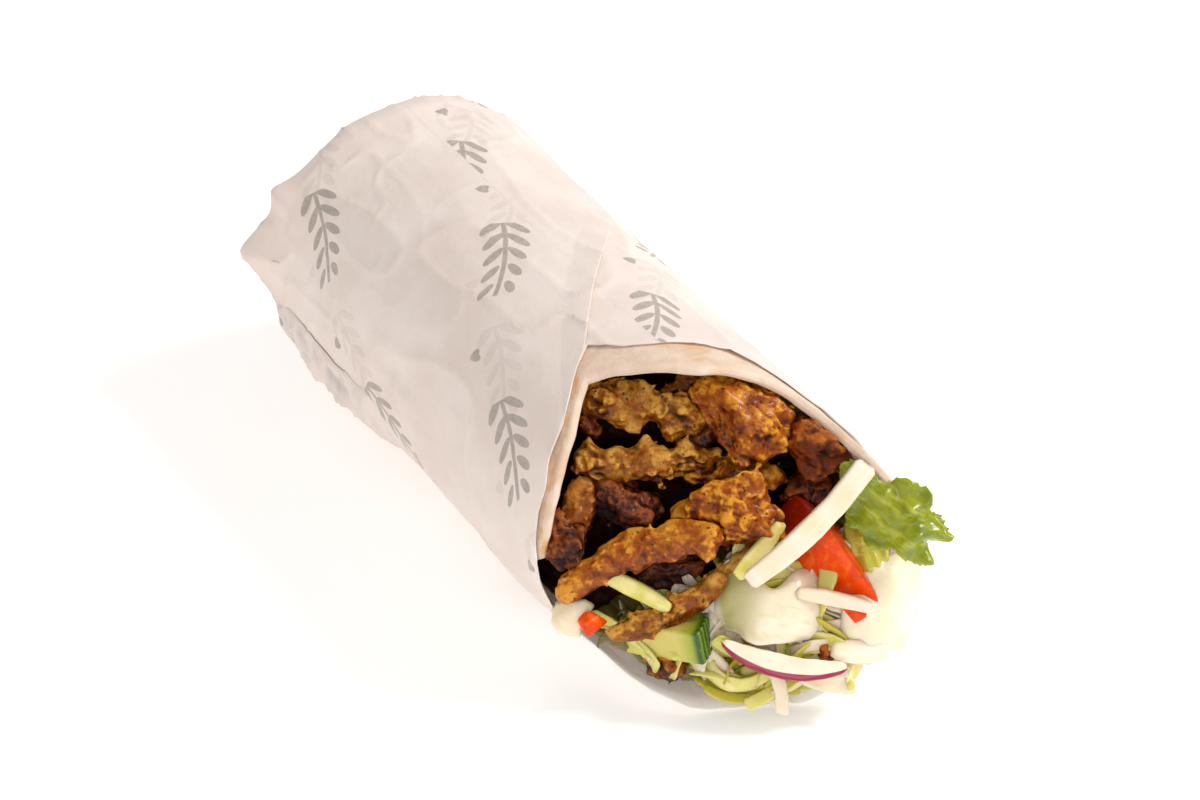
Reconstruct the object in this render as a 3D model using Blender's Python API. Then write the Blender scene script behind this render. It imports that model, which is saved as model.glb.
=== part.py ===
"""Chicken doner kebab sandwich, rolled in flatbread and greaseproof paper.

The roll lies along X on a flat strip of its paper at z = 0, with its slanted mouth towards +X.
Lengths are in metres. Run it with: blender --background --python part.py
"""

import math
import random
from dataclasses import dataclass

import bmesh
import bpy
from mathutils import Euler, Matrix, Vector, noise

MM = 0.001

# The roll
ROLL_RADIUS = 38 * MM
AXIS_HEIGHT = 37 * MM  # a millimetre under the radius, so that the paper lies flat underneath
END_X = -101 * MM  # the closed end
SHOULDER = 16 * MM  # the length over which the closed end rounds off
SHOULDER_POWER = 2.4
WALL_STATIONS = 40  # round the roll
CAP_SHARES = (0.4, 0.75, 0.94)  # rings of the closed end, as shares of the radius
PAPER_SIDE_RINGS = 7
BREAD_SIDE_RINGS = 4
ROLL_UNEVENNESS = 0.45 * MM

# The layers, as depths under the paper's outer face
PAPER_THICKNESS = 0.7 * MM
BREAD_DEPTH = 1.2 * MM
BREAD_THICKNESS = 2.3 * MM
FILLING_DEPTH = BREAD_DEPTH + BREAD_THICKNESS + 0.5 * MM

# The folded corners of the paper at the closed end: angle, half width in degrees, and reach
EAR_CENTRE_X = -95 * MM
EAR_HALF_LENGTH = 8 * MM
EARS = (
    (171, 12, 12 * MM),
    (148, 8, 7 * MM),
    (-9, 12, 10 * MM),
)

# The mouth's slanted edge: angle round the roll from +Y over the top, and how far along X it reaches
PAPER_RIM = (
    (-135, 41), (-129, 50), (-121, 61), (-111, 67), (-93, 72), (-75, 78), (-60, 81), (-35, 80),
    (-10, 76), (15, 71), (30, 63), (43, 54), (52, 45), (63, 38.5), (76, 34), (94, 29), (99, 27.5),
    (108, 20.5), (134, 34.5), (154, 39.5), (178, 43), (196, 45), (212, 44),
)
BREAD_RIM = (
    (-135, 34), (-120, 46), (-90, 58), (-60, 66), (-30, 72), (0, 75), (15, 79), (25, 77), (33, 71),
    (40, 61), (48, 51), (60, 46.5), (83, 42.5), (108, 32), (117, 29), (134, 37.5), (154, 42.5),
    (170, 44), (180, 42), (188, 36), (200, 33), (212, 33),
)

# The mouth's own axes: across, up the slope and out of it
MOUTH_CENTRE = Vector((58, 0, 34)) * MM
MOUTH_TURN = math.radians(59)
MOUTH_TIP = math.radians(36.5)

# The filling behind the pieces: meat above a slanting line across the roll, salad below it
SPLIT_HEIGHT = 24 * MM
SPLIT_SLOPE = 0.40
SPLIT_GAP = 0.4 * MM
MEAT_CORE_OUT = -12.5 * MM
SALAD_CORE_OUT = -7.5 * MM
CORE_BACK_X = -94 * MM
CORE_SPOKES = 30
CORE_RINGS = 5

RAG_LENGTH = 4.5  # millimetres from one tear of a ragged edge to the next
LARGE_CHUNK = 16.5  # millimetres; the chunks longer than this have finer relief
GAP = 0.35 * MM  # kept between neighbours
SMALLEST_EDGE = 0.02 * MM


@dataclass(frozen=True)
class Finish:
    """Colour, roughness and sheen of one food."""

    name: str
    colour: tuple
    roughness: float


PAPER = Finish("greaseproof_paper", (0.83, 0.76, 0.71), 0.7)
BREAD = Finish("flatbread", (0.86, 0.72, 0.52), 0.8)
PALE_MEAT = Finish("pale_meat", (0.46, 0.22, 0.07), 0.5)
GOLDEN_MEAT = Finish("golden_meat", (0.5, 0.19, 0.03), 0.42)
BROWN_MEAT = Finish("browned_meat", (0.24, 0.07, 0.02), 0.38)
CHARRED_MEAT = Finish("charred_meat", (0.09, 0.02, 0.01), 0.33)
CABBAGE = Finish("white_cabbage", (0.82, 0.74, 0.5), 0.4)
LETTUCE = Finish("green_lettuce", (0.24, 0.36, 0.02), 0.38)
TOMATO = Finish("tomato", (0.75, 0.09, 0.02), 0.28)
ONION = Finish("red_onion", (0.85, 0.74, 0.66), 0.35)
CUCUMBER = Finish("cucumber", (0.55, 0.62, 0.18), 0.35)


def clear_scene():
    for obj in list(bpy.data.objects):
        bpy.data.objects.remove(obj)


def material_of(finish):
    """The finish's material, made once."""
    found = bpy.data.materials.get(finish.name)
    if found:
        return found
    made = bpy.data.materials.new(finish.name)
    made.use_nodes = True
    shader = made.node_tree.nodes["Principled BSDF"]
    shader.inputs["Base Color"].default_value = (*finish.colour, 1)
    shader.inputs["Roughness"].default_value = finish.roughness
    shader.inputs["Metallic"].default_value = 0
    return made


def object_of(name, bm, finish):
    """Links a new object with the bmesh's faces, facing out, and frees the bmesh."""
    bmesh.ops.recalc_face_normals(bm, faces=bm.faces)
    mesh = bpy.data.meshes.new(name)
    bm.to_mesh(mesh)
    bm.free()
    mesh.shade_smooth()
    mesh.materials.append(material_of(finish))
    obj = bpy.data.objects.new(name, mesh)
    bpy.context.scene.collection.objects.link(obj)
    return obj


def bridge(bm, near, far):
    """Joins two rings of as many points with triangles."""
    count = len(near)
    for i in range(count):
        j = (i + 1) % count
        bm.faces.new((near[i], near[j], far[j]))
        bm.faces.new((near[i], far[j], far[i]))


def fan(bm, centre, ring):
    """Closes a ring with a fan of triangles about a point."""
    for i, corner in enumerate(ring):
        bm.faces.new((centre, corner, ring[(i + 1) % len(ring)]))


def bump(value, half_width):
    return math.exp(-((value / half_width) ** 2))


def rim_reach(stops, degrees):
    """How far along X the mouth's edge reaches at an angle, in straight runs between the stops."""
    first = stops[0][0]
    degrees = first + (degrees - first) % 360
    ring = [*stops, (first + 360, stops[0][1])]
    for (low, near), (high, far) in zip(ring, ring[1:]):
        if degrees <= high:
            return (near + (far - near) * (degrees - low) / (high - low)) * MM
    return stops[0][1] * MM


def angle_between(one, other):
    """The difference of two angles in degrees, from -180 to 180."""
    return (one - other + 180) % 360 - 180


def wall_radius(x, degrees):
    """The paper's radius, with its slow unevenness."""
    turn = math.radians(degrees)
    place = Vector((x / (34 * MM), 1.3 * math.cos(turn), 1.3 * math.sin(turn)))
    return ROLL_RADIUS + ROLL_UNEVENNESS * noise.noise(place)


def ear_reach(x, degrees):
    """How far the folded corners stand out of the paper there."""
    along = bump(x - EAR_CENTRE_X, EAR_HALF_LENGTH)
    return sum(reach * along * bump(angle_between(degrees, at), wide) for at, wide, reach in EARS)


def wall_point(x, share, degrees, depth, ears=0.0):
    """A point of the roll's wall. share is 1 on the side and falls to 0 at the end's centre."""
    turn = math.radians(degrees)
    radius = share * (wall_radius(x, degrees) - depth) + ears * share * ear_reach(x, degrees)
    y = radius * math.cos(turn)
    z = AXIS_HEIGHT + radius * math.sin(turn)
    return Vector((x, y, max(z, depth)))


def cap_x(share, depth):
    rounded = 1 - (1 - share**SHOULDER_POWER) ** (1 / SHOULDER_POWER)
    return END_X + depth + (SHOULDER - depth) * rounded


def wall_rings(bm, depth, rim, side_rings, ears):
    """Rings of points from the closed end's centre to the rim; the first is the centre alone."""
    angles = [-90 + 360 * i / WALL_STATIONS for i in range(WALL_STATIONS)]
    centre = bm.verts.new(wall_point(END_X + depth, 0, 0, depth))
    rings = []
    for share in CAP_SHARES:
        x = cap_x(share, depth)
        rings.append([bm.verts.new(wall_point(x, share, a, depth, ears)) for a in angles])
    start = END_X + SHOULDER
    for k in range(side_rings + 1):
        ring = []
        for a in angles:
            x = start + (rim_reach(rim, a) - start) * k / side_rings
            ring.append(bm.verts.new(wall_point(x, 1, a, depth, ears)))
        rings.append(ring)
    return centre, rings


def make_shell(name, finish, depth, thickness, rim, side_rings, ears=0.0):
    """A tube with a closed, rounded end and a slanted mouth."""
    bm = bmesh.new()
    outer_centre, outer = wall_rings(bm, depth, rim, side_rings, ears)
    inner_centre, inner = wall_rings(bm, depth + thickness, rim, side_rings, ears)
    for centre, rings in ((outer_centre, outer), (inner_centre, inner)):
        fan(bm, centre, rings[0])
        for near, far in zip(rings, rings[1:]):
            bridge(bm, near, far)
    bridge(bm, outer[-1], inner[-1])
    return object_of(name, bm, finish)


def mouth_matrix():
    """Turns the mouth's across, up and out into the roll's X, Y and Z."""
    across = Vector((math.cos(MOUTH_TURN), math.sin(MOUTH_TURN), 0))
    out = Vector((
        math.sin(MOUTH_TURN) * math.cos(MOUTH_TIP),
        -math.cos(MOUTH_TURN) * math.cos(MOUTH_TIP),
        math.sin(MOUTH_TIP),
    ))
    up = out.cross(across)
    turned = Matrix((across, up, out)).transposed().to_4x4()
    return Matrix.Translation(MOUTH_CENTRE) @ turned


def split_at(y):
    """Height of the slanting line between meat and salad."""
    return SPLIT_HEIGHT + SPLIT_SLOPE * y


def core_outline(above):
    """The roll's inside on one side of the slanting line, as points (y, z) round a middle point."""
    radius = ROLL_RADIUS - ROLL_UNEVENNESS - FILLING_DEPTH
    tilt = math.atan(SPLIT_SLOPE)
    side = 1 if above else -1
    offset = (AXIS_HEIGHT - split_at(0)) * math.cos(tilt) - side * SPLIT_GAP / 2
    # Both measured square to the line from the roll's axis
    half_angle = math.acos(max(-1.0, min(1.0, offset / radius)))
    if above:
        start, sweep = -math.pi / 2 + half_angle, 2 * math.pi - 2 * half_angle
        middle = 0.15 * radius
    else:
        start, sweep = -math.pi / 2 - half_angle, 2 * half_angle
        middle = -(offset + radius) / 2
    chord = 2 * radius * math.sin(half_angle)
    on_arc = round(CORE_SPOKES * sweep * radius / (sweep * radius + chord))
    arc = [start + sweep * i / on_arc for i in range(on_arc + 1)]
    points = [(radius * math.cos(a), radius * math.sin(a)) for a in arc]
    last, first = points[-1], points[0]
    on_chord = CORE_SPOKES - on_arc
    for i in range(1, on_chord):
        s = i / on_chord
        points.append((last[0] + (first[0] - last[0]) * s, last[1] + (first[1] - last[1]) * s))
    turned = []
    for p, q in [*points, (0, middle)]:
        y = p * math.cos(tilt) - q * math.sin(tilt)
        z = AXIS_HEIGHT + p * math.sin(tilt) + q * math.cos(tilt)
        turned.append((y, max(z, FILLING_DEPTH + ROLL_UNEVENNESS)))
    return turned[:-1], turned[-1]


def front_x(y, z, out):
    """Where the plane that lies out along the mouth's own axis meets a line along the roll."""
    normal = mouth_matrix().to_3x3() @ Vector((0, 0, 1))
    rest = Vector((0, y, z)) - Vector((0, MOUTH_CENTRE.y, MOUTH_CENTRE.z))
    return MOUTH_CENTRE.x + (out - normal.y * rest.y - normal.z * rest.z) / normal.x


def make_core(name, finish, above, out, lump, lump_size, seed):
    """The packed filling, as long as the roll, with a lumpy face behind the loose pieces."""
    bm = bmesh.new()
    outline, middle = core_outline(above)

    def lumpy(y, z, share):
        x = front_x(y, z, out)
        place = Vector((seed, y / lump_size, z / lump_size))
        return x + lump * (2 * abs(noise.noise(place)) - 0.4) * min(1, 2.2 * (1 - share) + 0.3)

    front_centre = bm.verts.new((lumpy(*middle, 0), *middle))
    rings = []
    for k in range(1, CORE_RINGS + 1):
        share = k / CORE_RINGS
        ring = []
        for y, z in outline:
            py = middle[0] + (y - middle[0]) * share
            pz = middle[1] + (z - middle[1]) * share
            ring.append(bm.verts.new((lumpy(py, pz, share), py, pz)))
        rings.append(ring)
    for x, share in ((CORE_BACK_X + SHOULDER, 1.0), (CORE_BACK_X + 2 * MM, 0.72)):
        ring = []
        for y, z in outline:
            py = middle[0] + (y - middle[0]) * share
            pz = middle[1] + (z - middle[1]) * share
            ring.append(bm.verts.new((x, py, pz)))
        rings.append(ring)
    back_centre = bm.verts.new((CORE_BACK_X + 1 * MM, *middle))
    fan(bm, front_centre, rings[0])
    for near, far in zip(rings, rings[1:]):
        bridge(bm, near, far)
    fan(bm, back_centre, rings[-1])
    return object_of(name, bm, finish)


@dataclass(frozen=True)
class Place:
    """Where a loose piece lies in the mouth: millimetres across, up and out, and its turns in degrees."""

    across: float
    up: float
    out: float
    spin: float = 0.0  # in the mouth's plane, anticlockwise
    tip: float = 0.0  # about its own length
    pitch: float = 0.0  # its far end out of the mouth


def settle(obj, place, mouth):
    """Parents a piece to the mouth and sets it down there."""
    obj.parent = mouth
    obj.location = Vector((place.across, place.up, place.out)) * MM
    turns = Euler((math.radians(place.tip), math.radians(-place.pitch), 0), "XYZ")
    spin = Matrix.Rotation(math.radians(place.spin), 4, "Z")
    obj.rotation_euler = (spin @ turns.to_matrix().to_4x4()).to_euler()
    return obj


def make_chunk(name, finish, size, seed, detail, lump=0.3, facets=7):
    """A torn chunk: a ball with flat torn faces and lumps, fitted to its length, height and depth."""
    draw = random.Random(seed)
    bm = bmesh.new()
    bmesh.ops.create_icosphere(bm, subdivisions=detail, radius=1)
    shift = Vector((draw.uniform(-9, 9), draw.uniform(-9, 9), draw.uniform(-9, 9)))
    torn = []
    for _ in range(facets):
        facing = Vector((draw.gauss(0, 1), draw.gauss(0, 1), draw.gauss(0, 0.6))).normalized()
        torn.append((facing, draw.uniform(0.5, 0.8)))
    for vert in bm.verts:
        point = vert.co.copy()
        for facing, reach in torn:
            over = point.dot(facing) - reach
            if over > 0:
                point -= 0.85 * over * facing
        coarse = noise.noise(1.6 * point + shift)
        ridge = abs(noise.noise(2.7 * point + shift))
        fine = noise.noise(5.2 * point - shift)
        point *= 1 + lump * (coarse - 1.2 * ridge + 0.5 * fine)
        vert.co = point
    fit_to(bm, [s * MM for s in size])
    return object_of(name, bm, finish)


def fit_to(bm, size):
    """Centres the mesh and stretches it to a size along each axis."""
    for axis, wanted in enumerate(size):
        low = min(vert.co[axis] for vert in bm.verts)
        high = max(vert.co[axis] for vert in bm.verts)
        for vert in bm.verts:
            vert.co[axis] = wanted * ((vert.co[axis] - low) / (high - low) - 0.5)


@dataclass(frozen=True)
class Ribbon:
    """A slice or shred. Sizes in millimetres, turns in degrees over its whole length."""

    length: float
    width: float
    thickness: float
    bend: float = 0.0  # in its own plane
    curl: float = 0.0  # out of its plane
    twist: float = 0.0
    ragged: float = 0.0  # share by which its width wanders
    start: float = 0.6  # width at its ends, as shares of the whole
    finish: float = 0.6
    segments: int = 8
    sides: int = 6


def ribbon_bmesh(form, seed):
    """A ribbon about its middle, along X, its width along Y and its thickness along Z."""
    bm = bmesh.new()
    count = form.segments
    heading = -math.radians(form.bend) / 2
    lift = -math.radians(form.curl) / 2
    step = form.length / count * MM
    spine, frames = [Vector()], []
    for i in range(count + 1):
        level = math.cos(lift)
        frames.append(Vector((level * math.cos(heading), level * math.sin(heading), math.sin(lift))))
        if i < count:
            spine.append(spine[-1] + step * frames[-1])
        heading += math.radians(form.bend) / count
        lift += math.radians(form.curl) / count
    middle = (spine[0] + spine[-1]) / 2
    belly = sum((p for p in spine), Vector()) / len(spine)
    middle = (middle + belly) / 2
    rings = []
    for i, (point, along) in enumerate(zip(spine, frames)):
        share = i / count
        across = Vector((0, 0, 1)).cross(along).normalized()
        face = along.cross(across)
        turn = math.radians(form.twist) * (share - 0.5)
        across, face = (
            math.cos(turn) * across + math.sin(turn) * face,
            math.cos(turn) * face - math.sin(turn) * across,
        )
        edge = form.start + (form.finish - form.start) * share
        swell = edge + (1 - edge) * math.sin(math.pi * share) ** 0.6
        ring = []
        for k in range(form.sides):
            round_it = 2 * math.pi * (k + 0.5) / form.sides
            along = share * form.length / RAG_LENGTH
            wander = noise.noise(Vector((seed, 2.1 * math.cos(round_it), along)))
            half = form.width / 2 * MM * swell * (1 + form.ragged * 1.6 * wander)
            thick = form.thickness / 2 * MM * (0.75 + 0.25 * swell) * (1 + 0.4 * form.ragged * wander)
            offset = half * math.cos(round_it) * across + thick * math.sin(round_it) * face
            ring.append(bm.verts.new(point - middle + offset))
        rings.append(ring)
    for near, far in zip(rings, rings[1:]):
        bridge(bm, near, far)
    for ring, point, way in ((rings[0], spine[0], -0.2), (rings[-1], spine[-1], 0.2)):
        tip = frames[0] if way < 0 else frames[-1]
        fan(bm, bm.verts.new(point - middle + way * form.thickness * MM * tip), ring)
    return bm


def make_ribbon(name, finish, form, seed):
    return object_of(name, ribbon_bmesh(form, seed), finish)


@dataclass(frozen=True)
class Sheet:
    """A leaf or an onion layer. Sizes in millimetres; the bows are its rise over its half size."""

    length: float
    height: float
    thickness: float
    bow_along: float = 0.0
    bow_up: float = 0.0
    wave: float = 0.0  # height of its ruffles
    ragged: float = 0.1
    notch: float = 0.0  # how deep its upper edge dips in the middle, as a share of its height
    columns: int = 8
    rows: int = 6


def make_sheet(name, finish, form, seed):
    """A thin bowed solid whose two faces are split into triangles alike."""
    bm = bmesh.new()
    faces = []
    for side in (1, -1):
        grid = []
        for i in range(form.columns + 1):
            u = 2 * i / form.columns - 1
            column = []
            for j in range(form.rows + 1):
                v = 2 * j / form.rows - 1
                # A square pulled towards a disc has rounded corners and no crowded middle
                x = u * math.sqrt(1 - 0.38 * v * v)
                y = v * math.sqrt(1 - 0.38 * u * u)
                rough = noise.noise(Vector((seed + 2.3 * x, 2.3 * y, 0.4)))
                reach = 1 + 1.5 * form.ragged * rough * max(abs(u), abs(v))
                x, y = x * reach, y * reach
                if v > 0:
                    y -= form.notch * 2 * v * bump(u, 0.45)
                ruffle = noise.noise(Vector((2.6 * x, 2.2 * y, seed)))
                z = -form.bow_along * u * u - form.bow_up * v * v + form.wave * ruffle
                thick = side * form.thickness / 2
                column.append(bm.verts.new(Vector((
                    form.length / 2 * x, form.height / 2 * y, z + thick,
                )) * MM))
            grid.append(column)
        faces.append(grid)
    for grid, turned in ((faces[0], False), (faces[1], True)):
        for i in range(form.columns):
            for j in range(form.rows):
                a, b = grid[i][j], grid[i + 1][j]
                c, d = grid[i + 1][j + 1], grid[i][j + 1]
                for corners in ((a, b, c), (a, c, d)):
                    bm.faces.new(reversed(corners) if turned else corners)
    edge = [(i, 0) for i in range(form.columns)]
    edge += [(form.columns, j) for j in range(form.rows)]
    edge += [(i, form.rows) for i in range(form.columns, 0, -1)]
    edge += [(0, j) for j in range(form.rows, 0, -1)]
    rims = [[grid[i][j] for i, j in edge] for grid in faces]
    bridge(bm, rims[0], rims[1])
    return object_of(name, bm, finish)


def make_wedge(name, finish, length, depth, thickness, sections=8, arc=5):
    """A tomato wedge: a straight inner edge, two cut faces and a round skin, pointed at one end."""
    bm = bmesh.new()
    rings = []
    for i in range(1, sections):
        share = 2 * i / sections - 1
        swell = math.sqrt(1 - share * share) * (1 - 0.3 * share)
        ring = [bm.verts.new(Vector((share * length / 2, -0.35 * depth * swell, 0)) * MM)]
        for k in range(arc + 1):
            turn = math.pi * (k / arc - 0.5)
            y = (0.3 + 0.35 * math.cos(turn)) * depth * swell
            z = thickness / 2 * swell * math.sin(turn)
            ring.append(bm.verts.new(Vector((share * length / 2, y, z)) * MM))
        rings.append(ring)
    for near, far in zip(rings, rings[1:]):
        bridge(bm, near, far)
    fan(bm, bm.verts.new(Vector((-length / 2, 0.05 * depth, 0)) * MM), rings[0])
    fan(bm, bm.verts.new(Vector((length / 2, 0.05 * depth, 0)) * MM), rings[-1])
    return object_of(name, bm, finish)


def make_cucumber(name, finish, radius, opening, thickness, steps=7):
    """Part of a cucumber slice: a sector with its skin towards +X, standing on its skin's width."""
    bm = bmesh.new()
    half = math.radians(opening) / 2
    rings = []
    for z in (-thickness / 2, thickness / 2):
        ring = [bm.verts.new(Vector((-radius * 0.62, 0, z)) * MM)]
        for i in range(steps + 1):
            turn = -half + 2 * half * i / steps
            point = Vector((radius * math.cos(turn) - radius * 0.62, radius * math.sin(turn), z))
            ring.append(bm.verts.new(point * MM))
        rings.append(ring)
    bridge(bm, rings[0], rings[1])
    for ring in rings:
        fan(bm, bm.verts.new(sum((v.co for v in ring), Vector()) / len(ring)), ring)
    return object_of(name, bm, finish)


# Meat chunks: name, finish, length, height and depth in millimetres, place, seed
CHUNKS = (
    ("meat_chunk_golden", GOLDEN_MEAT, (28, 19, 17), Place(5.6, 30.2, 1, -40), 11),
    ("meat_chunk_centre", GOLDEN_MEAT, (27, 20.5, 17), Place(2.6, 10.6, 2.5, -12), 23),
    ("meat_chunk_glazed", BROWN_MEAT, (17, 15, 16), Place(21.8, 23.8, 2, -30), 5),
    ("meat_chunk_charred", CHARRED_MEAT, (18, 12, 12), Place(-21.3, 11.3, -2, -22), 31),
    ("meat_knob_left", BROWN_MEAT, (12, 16, 12), Place(-34.8, 2.6, 4, 14), 41),
    ("meat_wedge_left", GOLDEN_MEAT, (10, 22, 11), Place(-32.0, 9.4, -2, -12), 53),
    ("meat_chunk_dark", CHARRED_MEAT, (16, 11, 11), Place(20.4, 14.6, -3, 10), 67),
    ("meat_chunk_deep", CHARRED_MEAT, (20, 12, 10), Place(-9.5, -5.0, -7, 6), 71),
    ("meat_scrap_top", GOLDEN_MEAT, (18, 8.5, 9), Place(-4.8, 37.0, -5, -6), 83),
    ("meat_lump_inner", BROWN_MEAT, (11, 11, 10), Place(-5.2, 27.2, -5, 0), 97),
    ("meat_crumb_front", GOLDEN_MEAT, (11.5, 7.8, 8), Place(-11.0, -25.2, -5, -12), 101),
    ("meat_scrap_right", BROWN_MEAT, (7.5, 6.5, 6), Place(24.6, -21.6, -1, 30), 103),
)

# Meat slices: name, finish, form, place, seed
SLICES = (
    ("meat_slab_top", PALE_MEAT,
     Ribbon(30, 11.5, 7, bend=-24, ragged=0.75, start=0.8, finish=0.5, segments=14, sides=8),
     Place(-18.3, 32.2, 0, -12, 12), 3),
    ("meat_slab_mid", PALE_MEAT,
     Ribbon(32, 8.6, 7, bend=16, ragged=0.75, start=1.0, finish=0.3, segments=14, sides=8),
     Place(-15.6, 21.0, 0, 5, 10), 7),
    ("meat_slice_long", PALE_MEAT,
     Ribbon(39, 9.5, 6, bend=-62, curl=14, ragged=0.4, start=0.5, finish=0.95,
            segments=14, sides=8),
     Place(-18.2, -1.8, 7, 19, -22, 8), 13),
    ("meat_slice_low", PALE_MEAT,
     Ribbon(28.5, 7.2, 4.8, bend=30, ragged=0.4, start=0.4, finish=0.95, segments=10, sides=6),
     Place(-11.2, -12.0, 3, 27, 24), 17),
    ("meat_sliver_left", BROWN_MEAT,
     Ribbon(13, 5, 6, bend=20, ragged=0.25, segments=6, sides=6),
     Place(-30.0, 32.0, -4, -62), 19),
    ("meat_slab_behind", GOLDEN_MEAT,
     Ribbon(21, 7.5, 8, bend=-14, ragged=0.22, segments=7, sides=6),
     Place(3.4, 17.6, -3, -4), 29),
    ("meat_strip_right", PALE_MEAT,
     Ribbon(17, 3.6, 4, bend=10, ragged=0.22, segments=6, sides=6),
     Place(5.4, -0.6, 1, 40), 37),
)

# Salad shreds and slices that lie free: name, finish, form, place, seed
STRIPS = (
    ("cabbage_strip_long", CABBAGE,
     Ribbon(37, 5.3, 2.4, bend=18, curl=-10, start=0.7, finish=0.95, segments=9),
     Place(19.4, 7.0, 12.5, 45, 12, 4), 1),
    ("lettuce_curl", CABBAGE,
     Ribbon(16, 4.2, 1.8, bend=30, curl=30, twist=50, segments=6),
     Place(8.8, 1.2, 7.0, 50, 30), 2),
    ("red_onion_slice", ONION,
     Ribbon(29, 5.4, 3.0, bend=46, curl=8, start=0.14, finish=0.3, segments=10),
     Place(14.2, -22.8, 4.5, -11, -8), 3),
    ("cabbage_strip_low", CABBAGE,
     Ribbon(20, 4.0, 2.4, bend=-10, segments=6),
     Place(-19.6, -7.4, 4, -27, 10), 4),
    ("cabbage_strip_tomato", CABBAGE,
     Ribbon(17, 3.4, 2.0, bend=-8, segments=5),
     Place(25.4, -9.9, 5, -12, 20), 6),
    ("cabbage_strip_front", CABBAGE,
     Ribbon(13, 3.4, 2.2, bend=-10, segments=5),
     Place(0.4, -25.2, -1.5, -50, 10), 8),
    ("onion_end_right", ONION,
     Ribbon(13, 5.4, 3.4, bend=18, segments=5),
     Place(31.4, -21.4, 0, -2), 9),
)

# Leaves and onion layers: name, finish, form, place, seed
SHEETS = (
    ("lettuce_leaf", LETTUCE,
     Sheet(25, 17, 1.2, bow_along=2.5, bow_up=1.5, wave=3.4, ragged=0.28, columns=11, rows=8),
     Place(37.8, 8.4, 12, -33, 10, 2), 4.2),
    ("lettuce_lining", LETTUCE,
     Sheet(36, 12, 1.2, bow_along=1.5, bow_up=1.2, wave=1.6, ragged=0.2, columns=8, rows=3),
     Place(23.6, 25.6, -3, -48, 52), 8.8),
    ("cabbage_rib", CABBAGE,
     Sheet(25, 20.5, 3.0, bow_along=5.0, bow_up=1.8, ragged=0.12, notch=0.42, columns=9, rows=6),
     Place(11.6, -9.2, 5, -6, -12), 1.7),
    ("onion_layer_right", ONION,
     Sheet(18, 24, 2.4, bow_along=3.6, bow_up=3.4, ragged=0.16, columns=7, rows=7),
     Place(37.2, -11.2, 3.0, -12, 0, -14), 6.1),
    ("cabbage_leaf", CABBAGE,
     Sheet(10, 20, 1.3, bow_along=1.8, bow_up=1.2, wave=1.4, ragged=0.15, columns=5, rows=7),
     Place(34.0, -1.4, 2, 14, 0, -10), 5.5),
    ("cabbage_piece_left", CABBAGE,
     Sheet(9, 9, 2.4, bow_along=1.8, bow_up=1.2, ragged=0.2, columns=5, rows=5),
     Place(-33.0, -13.6, 1.5, -30, 10), 9.3),
)

# The wedge's straight inner edge faces out of the mouth and to the upper right
TOMATO_WEDGE_PLACE = Place(25.6, 0.8, 1.2, -51, -110, 8)
TOMATO_BITS = (
    ("tomato_bit_right", (6, 5, 4), Place(30.0, -12.4, 3.5, -30), 7),
    ("tomato_bit_left", (6.5, 5.5, 4), Place(-28.6, -15.4, 2.6, -35), 8),
)
CUCUMBER_PLACE = Place(-9.2, -17.8, -2.0, 6, -62, 12)

# Shreds fused to the salad's core: millimetres across, up and out, spin, length, width, thickness, bend
HEAP_SHREDS = (
    (20.5, -13.0, -1.0, -8, 19, 3.6, 2.0, 40),
    (27.0, -13.0, -0.5, 34, 15, 3.2, 2.0, -40),
    (17.5, -16.6, -1.5, 8, 18, 3.0, 2.0, 24),
    (25.5, -17.4, -1.0, -24, 13, 3.4, 2.0, 30),
    (-20.5, -19.4, -5.0, -14, 17, 4.0, 2.2, 26),
    (-24.0, -17.0, -3.5, 52, 13, 2.2, 1.8, -24),
    (-18.0, -22.2, -6.5, -30, 15, 3.4, 2.0, 20),
    (9.5, -28.0, -4.5, -4, 26, 4.4, 2.2, 14),
    (17.0, -28.8, -5.0, -8, 19, 4.0, 2.0, -12),
    (-2.0, -23.0, -5.0, 22, 15, 3.4, 2.0, 20),
    (4.0, -24.5, -3.5, -24, 14, 3.0, 1.8, 20),
    (30.0, -6.0, -2.5, 70, 16, 4.0, 2.0, 14),
)


def make_heap(core, mouth):
    """Fuses the shreds that show to the salad's core."""
    shreds = bpy.data.collections.new("shreds")
    bpy.context.scene.collection.children.link(shreds)
    for number, row in enumerate(HEAP_SHREDS):
        across, up, out, spin, length, width, thickness, bend = row
        form = Ribbon(length, width, thickness, bend=bend, twist=20, segments=4, sides=4)
        shred = make_ribbon(f"shred_{number}", CABBAGE, form, 40 + number)
        settle(shred, Place(across, up, out, spin, 12 * (-1) ** number), mouth)
        bpy.context.scene.collection.objects.unlink(shred)
        shreds.objects.link(shred)
    fuse = core.modifiers.new("shreds", "BOOLEAN")
    fuse.operation = "UNION"
    fuse.operand_type = "COLLECTION"
    fuse.collection = shreds
    apply_modifiers(core)
    for shred in list(shreds.objects):
        bpy.data.objects.remove(shred)
    bpy.data.collections.remove(shreds)


def apply_modifiers(obj):
    """Bakes the object's modifiers and keeps only its largest body."""
    bpy.context.view_layer.update()
    graph = bpy.context.evaluated_depsgraph_get()
    baked = bpy.data.meshes.new_from_object(obj.evaluated_get(graph))
    obj.modifiers.clear()
    obj.data = baked
    bm = bmesh.new()
    bm.from_mesh(baked)
    bmesh.ops.triangulate(bm, faces=bm.faces)
    bmesh.ops.dissolve_degenerate(bm, edges=bm.edges, dist=SMALLEST_EDGE)
    bodies = loose_bodies(bm)
    largest = max(bodies, key=lambda faces: sum(f.calc_area() for f in faces))
    scraps = [f for faces in bodies if faces is not largest for f in faces]
    bmesh.ops.delete(bm, geom=scraps, context="FACES")
    bmesh.ops.triangulate(bm, faces=bm.faces)
    bm.to_mesh(baked)
    bm.free()


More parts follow.
